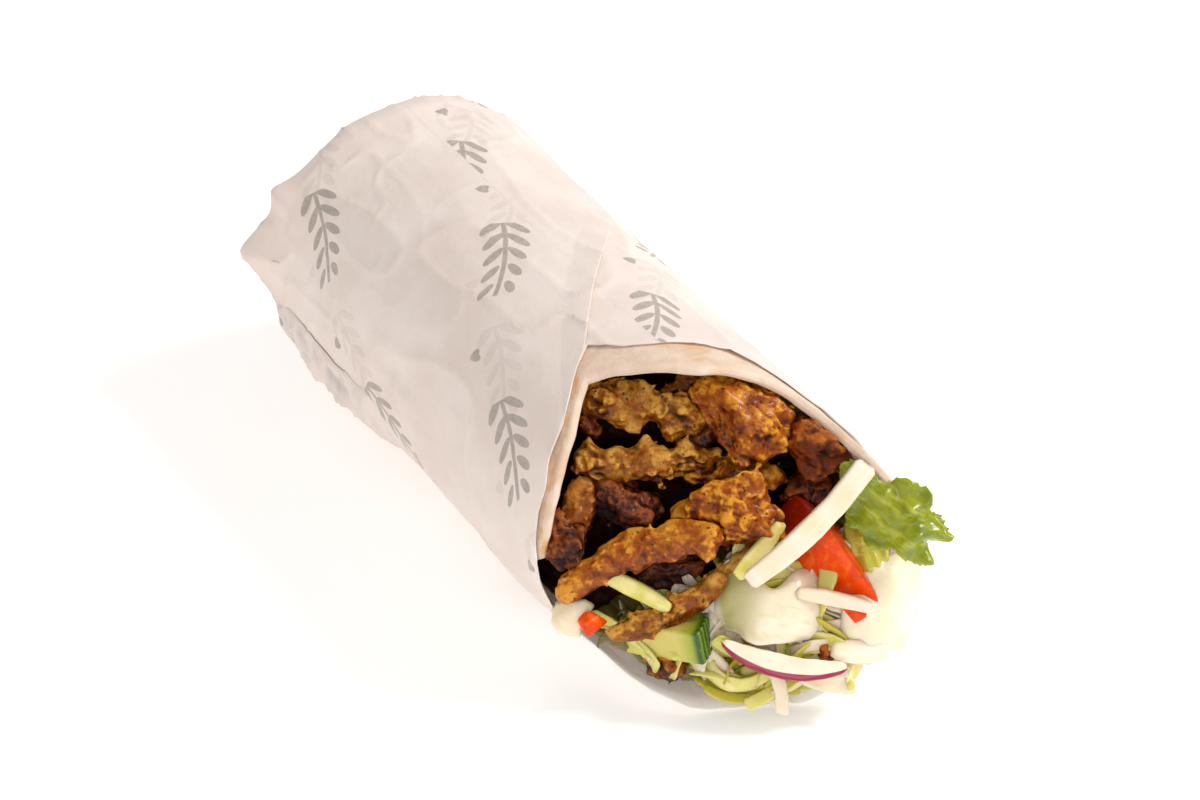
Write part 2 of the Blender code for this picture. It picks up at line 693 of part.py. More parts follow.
def loose_bodies(bm):
    """The faces of each connected body."""
    left = set(bm.faces)
    bodies = []
    while left:
        found, edge = [], [left.pop()]
        while edge:
            face = edge.pop()
            found.append(face)
            for side in face.edges:
                if len(side.link_faces) != 2:
                    continue
                for other in side.link_faces:
                    if other in left:
                        left.remove(other)
                        edge.append(other)
        bodies.append(found)
    return bodies


def swollen(obj, by):
    """A hidden copy of a piece, larger all over, that cuts the room it needs from its neighbours."""
    copy = obj.copy()
    copy.data = obj.data.copy()
    copy.name = obj.name + "_room"
    bm = bmesh.new()
    bm.from_mesh(copy.data)
    bm.normal_update()
    moves = [(vert, vert.co + by * vert.normal) for vert in bm.verts]
    for vert, place in moves:
        vert.co = place
    bm.to_mesh(copy.data)
    bm.free()
    bpy.context.scene.collection.objects.link(copy)
    copy.hide_render = True
    copy.display_type = "WIRE"
    return copy


def world_box(obj):
    corners = [obj.matrix_world @ Vector(c) for c in obj.bound_box]
    return [(min(c[k] for c in corners), max(c[k] for c in corners)) for k in range(3)]


def boxes_meet(one, other):
    return all(low < top and bottom < high for (low, high), (bottom, top) in zip(one, other))


def press_together(order, cores):
    """Each piece gives way to those before it in the list, as soft food does.

    The exact solver loses thin leaves whole, so it cuts only the two cores.
    """
    rooms = []
    for obj in order:
        bpy.context.view_layer.update()
        box = world_box(obj)
        for number, (room, room_box) in enumerate(rooms):
            if boxes_meet(box, room_box):
                cut = obj.modifiers.new(f"room_{number}", "BOOLEAN")
                cut.operation = "DIFFERENCE"
                cut.solver = "EXACT" if obj in cores else "MANIFOLD"
                cut.object = room
        if obj.modifiers:
            apply_modifiers(obj)
        room = swollen(obj, GAP)
        bpy.context.view_layer.update()
        rooms.append((room, world_box(room)))
    for room, _ in rooms:
        bpy.data.objects.remove(room)


def main():
    clear_scene()
    mouth = bpy.data.objects.new("mouth", None)
    bpy.context.scene.collection.objects.link(mouth)
    mouth.matrix_world = mouth_matrix()

    paper = make_shell(
        "paper_wrapper", PAPER, 0, PAPER_THICKNESS, PAPER_RIM, PAPER_SIDE_RINGS, ears=1.0
    )
    bread = make_shell(
        "flatbread", BREAD, BREAD_DEPTH, BREAD_THICKNESS, BREAD_RIM, BREAD_SIDE_RINGS
    )
    meat = make_core("kebab_meat", BROWN_MEAT, True, MEAT_CORE_OUT, 5 * MM, 9 * MM, 4.4)
    salad = make_core("salad_heap", CABBAGE, False, SALAD_CORE_OUT, 3 * MM, 6 * MM, 7.7)

    loose = {}
    for name, finish, size, place, seed in CHUNKS:
        detail = 3 if size[0] > LARGE_CHUNK else 2
        loose[name] = settle(make_chunk(name, finish, size, seed, detail), place, mouth)
    for name, finish, form, place, seed in (*SLICES, *STRIPS):
        loose[name] = settle(make_ribbon(name, finish, form, seed), place, mouth)
    for name, finish, form, place, seed in SHEETS:
        loose[name] = settle(make_sheet(name, finish, form, seed), place, mouth)
    wedge = make_wedge("tomato_wedge", TOMATO, 31, 18, 14)
    loose["tomato_wedge"] = settle(wedge, TOMATO_WEDGE_PLACE, mouth)
    for name, size, place, seed in TOMATO_BITS:
        loose[name] = settle(make_chunk(name, TOMATO, size, seed, 1), place, mouth)
    cucumber = make_cucumber("cucumber_piece", CUCUMBER, 20, 45, 8)
    loose["cucumber_piece"] = settle(cucumber, CUCUMBER_PLACE, mouth)

    make_heap(salad, mouth)
    # The pieces in front keep their form, so those come first
    nearest_first = sorted(loose.values(), key=lambda obj: -obj.location.z)
    cores = [salad, meat]
    press_together([paper, bread, *nearest_first, *cores], cores)


main()
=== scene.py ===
"""Looks of a chicken doner kebab sandwich, rolled in flatbread and greaseproof paper.

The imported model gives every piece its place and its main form. Here each one gets the surface of the
real thing: creased and printed paper, a toasted flatbread rim, torn and seared meat, and crisp salad.
Lengths inside the classes are in millimetres, and MM turns them into the scene's metres.
"""

import itertools
import logging
import math
from dataclasses import dataclass, field
from enum import Enum

import bmesh
import bpy
import numpy as np
from mathutils import Euler, Matrix, Vector, noise


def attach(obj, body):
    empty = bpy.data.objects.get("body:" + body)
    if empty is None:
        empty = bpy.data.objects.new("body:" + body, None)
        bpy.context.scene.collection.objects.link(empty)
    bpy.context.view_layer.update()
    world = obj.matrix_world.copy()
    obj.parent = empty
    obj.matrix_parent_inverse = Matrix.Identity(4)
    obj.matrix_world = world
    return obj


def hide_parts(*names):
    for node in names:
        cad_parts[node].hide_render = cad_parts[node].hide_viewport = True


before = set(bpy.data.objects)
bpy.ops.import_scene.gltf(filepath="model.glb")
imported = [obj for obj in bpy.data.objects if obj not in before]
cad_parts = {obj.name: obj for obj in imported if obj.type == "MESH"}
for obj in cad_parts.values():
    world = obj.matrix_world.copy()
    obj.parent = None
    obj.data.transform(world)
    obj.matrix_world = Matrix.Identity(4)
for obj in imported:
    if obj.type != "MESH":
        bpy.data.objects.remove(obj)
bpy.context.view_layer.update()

MM = 0.001
BODY = "root"
LATTICE = 256
VIEW_TURN = 59.0  # the mouth looks this way, and the camera looks back at it
VIEW_TIP = 36.5
LOG = logging.getLogger("kebab")

Array = np.ndarray
Faces = list[list[int]]
Colour = tuple[float, float, float]


def linear(value: float) -> float:
    """The linear strength of a display strength, both from 0 to 1."""
    return value / 12.92 if value <= 0.04045 else ((value + 0.055) / 1.055) ** 2.4


def srgb(red: int, green: int, blue: int) -> Colour:
    """The linear colour of a display colour from 0 to 255."""
    return linear(red / 255), linear(green / 255), linear(blue / 255)


def towards_view() -> Vector:
    """The direction from the mouth to the camera."""
    turn, tip = math.radians(VIEW_TURN), math.radians(VIEW_TIP)
    return Vector((math.sin(turn) * math.cos(tip), -math.cos(turn) * math.cos(tip), math.sin(tip)))


def smooth_step(low: float, high: float, values: Array) -> Array:
    """Rises smoothly from 0 at low to 1 at high."""
    share = np.clip((values - low) / (high - low), 0.0, 1.0)
    return share * share * (3.0 - 2.0 * share)


def bell(values: Array, half_width: float) -> Array:
    """A bell of height 1 about 0."""
    return np.exp(-((values / half_width) ** 2))


def signed_power(values: Array, power: float) -> Array:
    """Raises sizes to a power and keeps signs."""
    return np.sign(values) * np.abs(values) ** power


class Grain:
    """Seeded lattice noise from -1 to 1, worked out for many points at once."""

    def __init__(self, seed: int) -> None:
        """Draws the lattice's order and heights.

        Args:
            seed: picks the pattern.
        """
        draw = np.random.default_rng(seed)
        self.order = draw.permutation(LATTICE)
        self.heights = draw.uniform(-1.0, 1.0, LATTICE)

    def at(self, points: Array) -> Array:
        """Smooth noise.

        Args:
            points: places in lattice steps, one row each.

        Returns:
            One value for each point.
        """
        cell = np.floor(points).astype(int)
        share = points - cell
        share = share * share * (3.0 - 2.0 * share)
        total = np.zeros(len(points))
        for corner in itertools.product((0, 1), repeat=3):
            key = np.zeros(len(points), int)
            weight = np.ones(len(points))
            for axis, step in enumerate(corner):
                key = self.order[(key + cell[:, axis] + step) % LATTICE]
                weight = weight * (share[:, axis] if step else 1.0 - share[:, axis])
            total += weight * self.heights[key]
        return total

    def ridged(self, points: Array) -> Array:
        """Noise folded into sharp ridges that reach 1."""
        return 1.0 - 2.0 * np.abs(self.at(points))

    def cells(self, points: Array) -> tuple[Array, Array]:
        """Cells round scattered middles, one for each lattice step.

        Args:
            points: places in lattice steps, one row each.

        Returns:
            How far each point is from its cell's border, and its cell's height.
        """
        cell = np.floor(points).astype(int)
        nearest = np.full(len(points), 9.0)
        second = np.full(len(points), 9.0)
        height = np.zeros(len(points))
        for step in itertools.product((-1, 0, 1), repeat=3):
            key = np.zeros(len(points), int)
            for axis in range(3):
                key = self.order[(key + cell[:, axis] + step[axis]) % LATTICE]
            draws = [self.heights[(key + 67 * k) % LATTICE] for k in range(4)]
            middle = cell + np.array(step) + 0.5 + 0.5 * np.stack(draws[:3], -1)
            distance = np.linalg.norm(points - middle, axis=1)
            closer = distance < nearest
            second = np.where(closer, nearest, np.minimum(second, distance))
            height = np.where(closer, draws[3], height)
            nearest = np.where(closer, distance, nearest)
        return second - nearest, height

    def layered(self, points: Array, octaves: int = 3) -> Array:
        """Noise with finer and finer noise on it, each layer half as strong."""
        layers = [self.at(points * 2.0**k + 7.3 * k) / 2.0**k for k in range(octaves)]
        return sum(layers[1:], layers[0])


def cad_noise(points: Array) -> Array:
    """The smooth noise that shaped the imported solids, one value for each row."""
    return np.array([noise.noise(Vector(p)) for p in points.tolist()])


def grid_faces(rows: int, columns: int, closed: bool, start: int = 0, flip: bool = False) -> Array:
    """Quads over a grid of points.

    Args:
        rows: points one way.
        columns: points the other way, which vary fastest.
        closed: whether the last column joins the first.
        start: the number of the grid's first point.
        flip: whether the faces look the other way.

    Returns:
        One row of four point numbers for each quad.
    """
    row, column = np.meshgrid(
        np.arange(rows - 1), np.arange(columns if closed else columns - 1), indexing="ij"
    )
    here = row * columns + column
    right = row * columns + (column + 1) % columns
    quads = np.stack((here, right, right + columns, here + columns), -1).reshape(-1, 4) + start
    return quads[:, ::-1] if flip else quads


def loop_faces(near: Array, far: Array) -> Array:
    """Quads between two closed loops of as many points."""
    return np.stack((near, np.roll(near, -1), np.roll(far, -1), far), -1)


def fan_faces(centre: int, loop: Array) -> Faces:
    """Triangles from a centre to a closed loop."""
    return [[centre, int(a), int(b)] for a, b in zip(loop, np.roll(loop, -1))]


def tube_faces(rows: int, columns: int) -> Faces:
    """Faces of a tube whose ends close on two points that follow its rings.

    Args:
        rows: rings along the tube.
        columns: points of each ring.

    Returns:
        The point numbers of each face.
    """
    total = rows * columns
    first = np.arange(columns)
    walls = grid_faces(rows, columns, True).tolist()
    return walls + fan_faces(total, first) + fan_faces(total + 1, first + total - columns)


def slab_faces(rows: int, columns: int) -> Faces:
    """Faces of a thin slab between two grids of points, the upper one first.

    Args:
        rows: points one way.
        columns: points the other way, which vary fastest.

    Returns:
        The point numbers of each face, with the strip round the edges.
    """
    count = rows * columns
    faces = grid_faces(rows, columns, False).tolist()
    faces += grid_faces(rows, columns, False, count, flip=True).tolist()
    index = np.arange(count).reshape(rows, columns)
    edge = np.concatenate((index[0, :-1], index[:-1, -1], index[-1, :0:-1], index[:0:-1, 0]))
    return faces + loop_faces(edge, edge + count).tolist()


def new_piece(
    name: str,
    points: Array,
    faces: Faces,
    material: bpy.types.Material,
    layers: dict[str, Array] | None = None,
) -> bpy.types.Object:
    """Makes a smooth-shaded mesh piece and links it to the scene.

    Args:
        name: the piece's name.
        points: its points in millimetres.
        faces: the point numbers of each face.
        material: its finish.
        layers: named values for each point, numbers or vectors, that its finish reads.

    Returns:
        The new object.
    """
    mesh = bpy.data.meshes.new(name)
    mesh.from_pydata((points * MM).tolist(), [], faces)
    for layer, values in (layers or {}).items():
        kind = "FLOAT_VECTOR" if values.ndim == 2 else "FLOAT"
        attribute = mesh.attributes.new(layer, kind, "POINT")
        key = "vector" if values.ndim == 2 else "value"
        attribute.data.foreach_set(key, np.ascontiguousarray(values, np.float32).ravel())
    bm = bmesh.new()
    bm.from_mesh(mesh)
    bmesh.ops.recalc_face_normals(bm, faces=bm.faces)
    bm.to_mesh(mesh)
    bm.free()
    mesh.shade_smooth()
    mesh.materials.append(material)
    piece = bpy.data.objects.new(name, mesh)
    bpy.context.scene.collection.objects.link(piece)
    return piece


def dress(piece: bpy.types.Object, slot: str, *nodes: str) -> bpy.types.Object:
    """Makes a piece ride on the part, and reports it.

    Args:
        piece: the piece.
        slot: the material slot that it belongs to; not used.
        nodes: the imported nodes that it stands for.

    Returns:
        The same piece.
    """
    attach(piece, BODY)
    if nodes:
        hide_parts(*nodes)
    LOG.info("%s: %d faces", piece.name, len(piece.data.polygons))
    return piece


class Shader:
    """Builds one material's nodes. Sizes are in millimetres of the real surface."""

    def __init__(self, name: str) -> None:
        """Starts a material.

        Args:
            name: the material's name.
        """
        self.material = bpy.data.materials.new(name)
        self.material.use_nodes = True
        self.tree = self.material.node_tree
        self.surface = self.tree.nodes["Principled BSDF"]
        place = self.node("ShaderNodeTexCoord").outputs["Object"]
        scale = self.node("ShaderNodeVectorMath", operation="SCALE")
        scale.inputs["Scale"].default_value = 1.0 / MM
        self.tree.links.new(place, scale.inputs[0])
        self.place = scale.outputs["Vector"]

    def node(self, kind: str, **settings: object) -> bpy.types.Node:
        """Adds a node.

        Args:
            kind: the node's type.
            settings: values for its properties.

        Returns:
            The new node.
        """
        made = self.tree.nodes.new(kind)
        for key, value in settings.items():
            setattr(made, key, value)
        return made

    def feed(self, socket: bpy.types.NodeSocket, value: object) -> None:
        """Links a socket to another one, or sets its own value.

        Args:
            socket: the input.
            value: a socket, a colour or a number.
        """
        if isinstance(value, bpy.types.NodeSocket):
            self.tree.links.new(value, socket)
        elif isinstance(value, tuple) and len(value) == 3 and socket.type == "RGBA":
            socket.default_value = (*value, 1.0)
        else:
            socket.default_value = value

    def set(self, **values: object) -> None:
        """Feeds the surface's own sockets, named with underscores for spaces."""
        for key, value in values.items():
            self.feed(self.surface.inputs[key.replace("_", " ")], value)

    def stretched(self, stretch: tuple[float, float, float]) -> bpy.types.NodeSocket:
        """The place on the surface, squeezed along each axis.

        Args:
            stretch: the factor for each axis.

        Returns:
            The squeezed place.
        """
        made = self.node("ShaderNodeVectorMath", operation="MULTIPLY")
        self.feed(made.inputs[0], self.place)
        made.inputs[1].default_value = stretch
        return made.outputs["Vector"]

    def grain(
        self,
        size: float,
        detail: float = 3.0,
        rough: float = 0.55,
        warp: float = 0.0,
        stretch: tuple[float, float, float] | None = None,
        at: bpy.types.NodeSocket | None = None,
    ) -> bpy.types.NodeSocket:
        """Cloudy noise.

        Args:
            size: about how large a cloud is.
            detail: how many finer layers it has.
            rough: how strong the finer layers are.
            warp: how far the noise pushes itself about.
            stretch: factors that squeeze the place along each axis.
            at: another place to read the noise at.

        Returns:
            A value from 0 to 1.
        """
        made = self.node("ShaderNodeTexNoise")
        self.feed(made.inputs["Vector"], at or (self.stretched(stretch) if stretch else self.place))
        made.inputs["Scale"].default_value = 1.0 / size
        made.inputs["Detail"].default_value = detail
        made.inputs["Roughness"].default_value = rough
        made.inputs["Distortion"].default_value = warp
        return made.outputs["Fac"]

    def cells(self, size: float) -> bpy.types.NodeSocket:
        """Cells round scattered points.

        Args:
            size: about how far apart the points are.

        Returns:
            The distance to the nearest one, as a share of size.
        """
        made = self.node("ShaderNodeTexVoronoi")
        self.feed(made.inputs["Vector"], self.place)
        made.inputs["Scale"].default_value = 1.0 / size
        return made.outputs["Distance"]

    def layer(self, name: str, vector: bool = False) -> bpy.types.NodeSocket:
        """A value kept on the mesh."""
        made = self.node("ShaderNodeAttribute", attribute_name=name)
        return made.outputs["Vector" if vector else "Fac"]

    def facing_up(self) -> bpy.types.NodeSocket:
        """How far the surface faces up.

        Returns:
            A value from -1 to 1.
        """
        split = self.node("ShaderNodeSeparateXYZ")
        self.feed(split.inputs[0], self.node("ShaderNodeNewGeometry").outputs["Normal"])
        return split.outputs[2]

    def math(self, operation: str, *values: object, clamp: bool = False) -> bpy.types.NodeSocket:
        """One step of arithmetic.

        Args:
            operation: the step's name.
            values: numbers or sockets.
            clamp: whether the result is kept from 0 to 1.

        Returns:
            The result.
        """
        made = self.node("ShaderNodeMath", operation=operation, use_clamp=clamp)
        for socket, value in zip(made.inputs, values):
            self.feed(socket, value)
        return made.outputs[0]

    def band(self, value: object, low: float, high: float) -> bpy.types.NodeSocket:
        """Rises smoothly from 0 to 1, or falls where low is the larger.

        Args:
            value: what is read.
            low: where the result is 0.
            high: where it is 1.

        Returns:
            A value from 0 to 1.
        """
        made = self.node("ShaderNodeMapRange", interpolation_type="SMOOTHSTEP")
        self.feed(made.inputs["Value"], value)
        made.inputs["From Min"].default_value = min(low, high)
        made.inputs["From Max"].default_value = max(low, high)
        made.inputs["To Min"].default_value = 0.0 if low < high else 1.0
        made.inputs["To Max"].default_value = 1.0 if low < high else 0.0
        return made.outputs["Result"]

    def spread(self, value: object, low: float, high: float) -> bpy.types.NodeSocket:
        """A value from 0 to 1 spread from low to high."""
        return self.math("MULTIPLY_ADD", value, high - low, low)

    def ramp(self, value: object, *stops: tuple[float, Colour]) -> bpy.types.NodeSocket:
        """Colours along a value.

        Args:
            value: a value from 0 to 1.
            stops: places along it and their colours.

        Returns:
            The colour.
        """
        made = self.node("ShaderNodeValToRGB")
        self.feed(made.inputs["Fac"], value)
        elements = made.color_ramp.elements
        while len(elements) < len(stops):
            elements.new(1.0)
        for element, (place, colour) in zip(elements, stops):
            element.position = place
            element.color = (*colour, 1.0)
        return made.outputs["Color"]

    def mix(self, share: object, first: object, second: object) -> bpy.types.NodeSocket:
        """One colour over another.

        Args:
            share: how far the second covers the first.
            first: the colour below.
            second: the colour above.

        Returns:
            The mixed colour.
        """
        made = self.node("ShaderNodeMix", data_type="RGBA")
        self.feed(made.inputs[0], share)
        self.feed(made.inputs[6], first)
        self.feed(made.inputs[7], second)
        return made.outputs[2]

    def bump(self, height: object, depth: float, strength: float = 1.0) -> None:
        """Adds fine relief to the surface.

        Args:
            height: the relief's shape.
            depth: how deep it is, in millimetres.
            strength: how strongly it is shaded.
        """
        made = self.node("ShaderNodeBump")
        made.inputs["Strength"].default_value = strength
        made.inputs["Distance"].default_value = depth * MM
        self.feed(made.inputs["Height"], height)
        self.feed(self.surface.inputs["Normal"], made.outputs["Normal"])

    def soften(self, weight: object, reach: float, radius: Colour) -> None:
        """Lets light spread under the surface, to a reach in millimetres."""
        self.set(Subsurface_Weight=weight, Subsurface_Radius=radius, Subsurface_Scale=reach * MM)


@dataclass(frozen=True)
class PrintedPaper:
    """Greaseproof paper with a pale grey print of herb sprigs in a half-drop repeat."""

    paper: Colour = srgb(236, 221, 211)
    shade: Colour = srgb(228, 210, 200)
    painted_light_lining: Colour = srgb(250, 242, 236)
    painted_crumple_shade: Colour = srgb(182, 174, 172)
    ink: Colour = srgb(166, 155, 145)
    repeat: float = 52.0
    sprig: float = 12.0
    lean: float = 0.62
    leaf_step: float = 5.2
    leaf_half: float = 2.5
    ghost: float = 0.16

    def sprigs(self, shader: Shader, shift: float) -> bpy.types.NodeSocket:
        """Where the print's ink lies.

        Args:
            shader: the material being built.
            shift: how far along the sheet the print starts.

        Returns:
            1 on the ink and 0 between.
        """
        split = shader.node("ShaderNodeSeparateXYZ")
        shader.feed(split.inputs[0], shader.layer("sheet", vector=True))
        along, across = split.outputs[0], split.outputs[1]
        turned_a = shader.math(
            "ADD",
            shader.math("MULTIPLY", along, math.cos(self.lean)),
            shader.math("MULTIPLY", across, math.sin(self.lean)),
        )
        turned_b = shader.math(
            "SUBTRACT",
            shader.math("MULTIPLY", across, math.cos(self.lean)),
            shader.math("MULTIPLY", along, math.sin(self.lean)),
        )
        row = shader.math("FLOOR", shader.math("DIVIDE", turned_b, self.repeat))
        drop = shader.math("MULTIPLY", row, 0.5 * self.repeat)
        moved = shader.math("ADD", shader.math("ADD", turned_a, drop), shift)
        u = shader.math(
            "SUBTRACT", shader.math("FLOORED_MODULO", moved, self.repeat), self.repeat / 2
        )
        v = shader.math(
            "SUBTRACT", shader.math("FLOORED_MODULO", turned_b, self.repeat), self.repeat / 2
        )
        # A curved stem
        bend = shader.math("MULTIPLY", shader.math("MULTIPLY", u, u), 0.012)
        v = shader.math("SUBTRACT", v, bend)
        side = shader.math("ABSOLUTE", v)
        length = shader.math("ABSOLUTE", u)
        in_sprig = shader.band(length, self.sprig + 0.4, self.sprig)
        stem = shader.math("MULTIPLY", shader.band(side, 0.75, 0.45), in_sprig)
        # Leaves in pairs, slanted towards the tip and shorter near it
        slant = shader.math("SUBTRACT", u, shader.math("MULTIPLY", side, 0.8))
        step = shader.math(
            "SUBTRACT",
            shader.math("FLOORED_MODULO", slant, self.leaf_step),
            self.leaf_step / 2,
        )
        taper = shader.spread(shader.math("DIVIDE", u, -self.sprig), 3.4, 4.6)
        out = shader.math("DIVIDE", shader.math("SUBTRACT", side, 3.1), taper)
        wide = shader.math("DIVIDE", step, self.leaf_half / 1.6)
        oval = shader.math(
            "ADD",
            shader.math("MULTIPLY", shader.math("MULTIPLY", out, out), 1.9),
            shader.math("MULTIPLY", wide, wide),
        )
        leaves = shader.math("MULTIPLY", shader.band(oval, 1.0, 0.85), in_sprig)
        # A small dot halfway between two sprigs
        gap = shader.math("SUBTRACT", self.repeat / 2, length)
        round_it = shader.math(
            "SQRT",
            shader.math("ADD", shader.math("MULTIPLY", gap, gap), shader.math("MULTIPLY", v, v)),
        )
        dots = shader.band(round_it, 1.7, 1.3)
        return shader.math("MAXIMUM", shader.math("MAXIMUM", stem, leaves), dots)

    def material(self) -> bpy.types.Material:
        """The finish as a material.

        Returns:
            The new material.
        """
        shader = Shader("greaseproof_paper")
        cloud = shader.grain(16.0, detail=3.0)
        fibre = shader.grain(0.5, detail=2.0)
        base = shader.mix(shader.band(cloud, 0.3, 0.7), self.shade, self.paper)
        ghost = shader.math("MULTIPLY", self.sprigs(shader, 0.37 * self.repeat), self.ghost)
        base = shader.mix(ghost, base, self.ink)
        wear = shader.spread(shader.grain(1.4, detail=2.0), 0.55, 1.15)
        inked = shader.math("MULTIPLY", self.sprigs(shader, 0.0), wear, clamp=True)
        inside = shader.layer("inside")
        # Painted light: the inner face gets a lighter colour than the outer one, to lift the shaded lip.
        base = shader.mix(inside, base, self.painted_light_lining)
        # Painted shade: the hem's crumples are greyed in their hollows.
        base = shader.mix(shader.layer("crumple"), base, self.painted_crumple_shade)
        inked = shader.math("MULTIPLY", inked, shader.spread(inside, 1.0, 0.4))
        shader.set(Base_Color=shader.mix(inked, base, self.ink))
        shader.set(Roughness=shader.spread(cloud, 0.5, 0.68))
        crease = shader.grain(5.0, detail=4.0, rough=0.6, warp=0.8)
        relief = shader.math("ADD", shader.math("MULTIPLY", fibre, 0.12), crease)
        shader.bump(relief, 0.35, 0.5)
        # Light comes through the single sheet of the lip
        shader.soften(shader.spread(inside, 0.14, 0.6), 1.6, (1.0, 0.85, 0.72))
        return shader.material


@dataclass(frozen=True)
class ToastedBread:
    """Soft white flatbread, toasted brown along its edges and in a few blisters."""

    crumb: Colour = srgb(212, 184, 160)
    pale: Colour = srgb(222, 200, 180)
    gold: Colour = srgb(214, 158, 96)
    toast: Colour = srgb(160, 92, 38)

    def material(self) -> bpy.types.Material:
        """The finish as a material.

        Returns:
            The new material.
        """
        shader = Shader("toasted_flatbread")
        cloud = shader.grain(6.0, detail=4.0, warp=0.5)
        base = shader.mix(shader.band(cloud, 0.35, 0.65), self.crumb, self.pale)
        blister = shader.grain(5.0, detail=3.0, rough=0.6, warp=0.3, stretch=(0.9, 0.4, 0.8))
        base = shader.mix(
            shader.math("MULTIPLY", shader.band(blister, 0.57, 0.7), 0.6), base, self.gold
        )
        toasted = shader.math(
            "ADD", shader.layer("toast"), shader.spread(shader.grain(2.6, detail=4.0), -0.5, 0.5)
        )
        base = shader.mix(shader.band(toasted, 0.25, 0.62), base, self.gold)
        base = shader.mix(shader.band(toasted, 0.55, 1.0), base, self.toast)
        shader.set(Base_Color=base, Roughness=0.72)
        pores = shader.grain(0.8, detail=3.0, rough=0.65)
        shader.bump(shader.math("ADD", pores, shader.math("MULTIPLY", cloud, 1.5)), 0.35, 0.45)
        shader.soften(0.25, 1.6, (1.0, 0.75, 0.5))
        return shader.material


class MeatLook(Enum):
    """The ways in which the meat is cooked, and one near-black look that is painted shade: their colours from
    crevice to ridge, and their char.
    """

    PALE = ("pale_meat", ((40, 16, 2), (114, 60, 4), (158, 98, 20), (206, 150, 62)), 0.05, 0.35)
    CARAMEL = ("pale_meat", ((38, 11, 1), (118, 48, 0), (160, 82, 2), (212, 142, 40)), 0.15, 0.5)
    GOLDEN = ("golden_meat", ((40, 13, 1), (118, 50, 0), (162, 86, 2), (212, 144, 34)), 0.15, 0.4)
    BROWN = ("browned_meat", ((20, 5, 1), (76, 24, 1), (114, 46, 2), (170, 94, 18)), 0.35, 0.4)
    CHARRED = ("charred_meat", ((10, 3, 2), (38, 12, 5), (72, 27, 9), (128, 64, 24)), 0.45, 0.35)
    TOASTED = ("golden_meat", ((34, 12, 1), (98, 44, 3), (138, 74, 10), (186, 118, 42)), 0.3, 0.4)
    DARK = ("browned_meat", ((14, 4, 2), (52, 18, 5), (88, 38, 9), (144, 78, 30)), 0.5, 0.35)
    # A near-black look for the packed meat behind the loose pieces: painted shade for the dark gaps between
    # them.
    HIDDEN = ("browned_meat", ((8, 3, 1), (26, 9, 3), (44, 17, 5), (70, 30, 8)), 0.3, 0.05)

    def __init__(
        self, slot: str, tones: tuple[tuple[int, int, int], ...], char: float, shine: float
    ) -> None:
        """Names the values of a look.

        Args:
            slot: the material slot that it belongs to.
            tones: display colours from crevice to ridge.
            char: how much of the surface is burnt.
            shine: how strong its film of fat is.
        """
        self.slot = slot
        self.tones = tones
        self.char = char
        self.shine = shine


@dataclass(frozen=True)
class SearedMeat:
    """Torn, seasoned and seared meat, moist with its own fat."""

    look: MeatLook
    burnt: Colour = srgb(38, 14, 8)
    glaze: Colour = srgb(160, 62, 2)
    herb: Colour = srgb(42, 30, 8)
    pepper: Colour = srgb(96, 30, 6)
    # The colour of painted shade on meat that lies deep in the mouth, between the pieces.
    gap: Colour = srgb(22, 8, 2)
    tone_stops: tuple[float, ...] = (0.12, 0.42, 0.7, 0.97)

    def specks(self, shader: Shader, size: float, density: float) -> bpy.types.NodeSocket:
        """Where small flakes of seasoning stick, in loose drifts.

        Args:
            shader: the material being built.
            size: about how far apart the flakes are.
            density: how much of the surface the drifts cover.

        Returns:
            1 on a flake and 0 between.
        """
        ragged = shader.spread(shader.grain(0.3 * size, detail=2.0), -0.2, 0.2)
        flakes = shader.band(shader.math("ADD", shader.cells(size), ragged), 0.34, 0.22)
        drift = shader.grain(2.6 * size, detail=2.0)
        return shader.math("MULTIPLY", flakes, shader.band(drift, 0.66 - density, 0.74 - density))

    def material(self) -> bpy.types.Material:
        """The finish as a material.

        Returns:
            The new material.
        """
        shader = Shader(f"seared_{self.look.name.lower()}")
        cloud = shader.grain(6.5, detail=5.0, rough=0.6, warp=0.8)
        fine = shader.grain(0.9, detail=4.0, rough=0.7)
        relief = shader.layer("relief")
        mottled = shader.math("ADD", shader.spread(cloud, -0.84, 0.96), shader.spread(fine, -0.22, 0.26))
        # Painted shade and light: hollows in the relief layer are darker and ridges lighter, on top of the
        # random mottling.
        tone = shader.math("ADD", shader.spread(relief, -0.1, 0.85), mottled)
        # Painted light and shade: surfaces that face up are lighter and those that face down are darker.
        tone = shader.math("ADD", tone, shader.math("MULTIPLY", shader.facing_up(), 0.3), clamp=True)
        base = shader.ramp(tone, *zip(self.tone_stops, (srgb(*c) for c in self.look.tones)))
        oil = shader.band(shader.grain(4.4, detail=3.0, warp=1.2), 0.5, 0.68)
        base = shader.mix(shader.math("MULTIPLY", oil, 0.4), base, self.glaze)
        patch = shader.grain(5.5, detail=5.0, rough=0.66, warp=1.4)
        patch = shader.math("ADD", patch, shader.spread(relief, 0.07, -0.07))
        edge = 0.68 - 0.25 * self.look.char
        burnt = shader.band(patch, edge, edge + 0.09)
        base = shader.mix(shader.math("MULTIPLY", burnt, 0.82), base, self.burnt)
        herbs = self.specks(shader, 1.5, 0.12)
        base = shader.mix(shader.math("MULTIPLY", herbs, 0.85), base, self.herb)
        peppers = self.specks(shader, 0.8, 0.16)
        base = shader.mix(shader.math("MULTIPLY", peppers, 0.65), base, self.pepper)
        # Painted shade: the deeper a point lies in the mouth, the closer its colour comes to the dark gap
        # colour.
        deep = shader.math("MULTIPLY", shader.layer("deep"), 0.9)
        shader.set(Base_Color=shader.mix(deep, base, self.gap))
        wet = shader.band(shader.grain(1.8, detail=3.0), 0.38, 0.6)
        shader.set(Roughness=shader.spread(wet, 0.62, 0.3), Specular_IOR_Level=0.4 * self.look.shine)
        shader.set(Coat_Weight=0.4 * self.look.shine, Coat_Roughness=0.14)
        grit = shader.math("ADD", fine, shader.grain(0.3, detail=2.0))
        shader.bump(grit, 0.22, 0.7)
        shader.soften(0.08, 1.0, (1.0, 0.45, 0.2))
        return shader.material


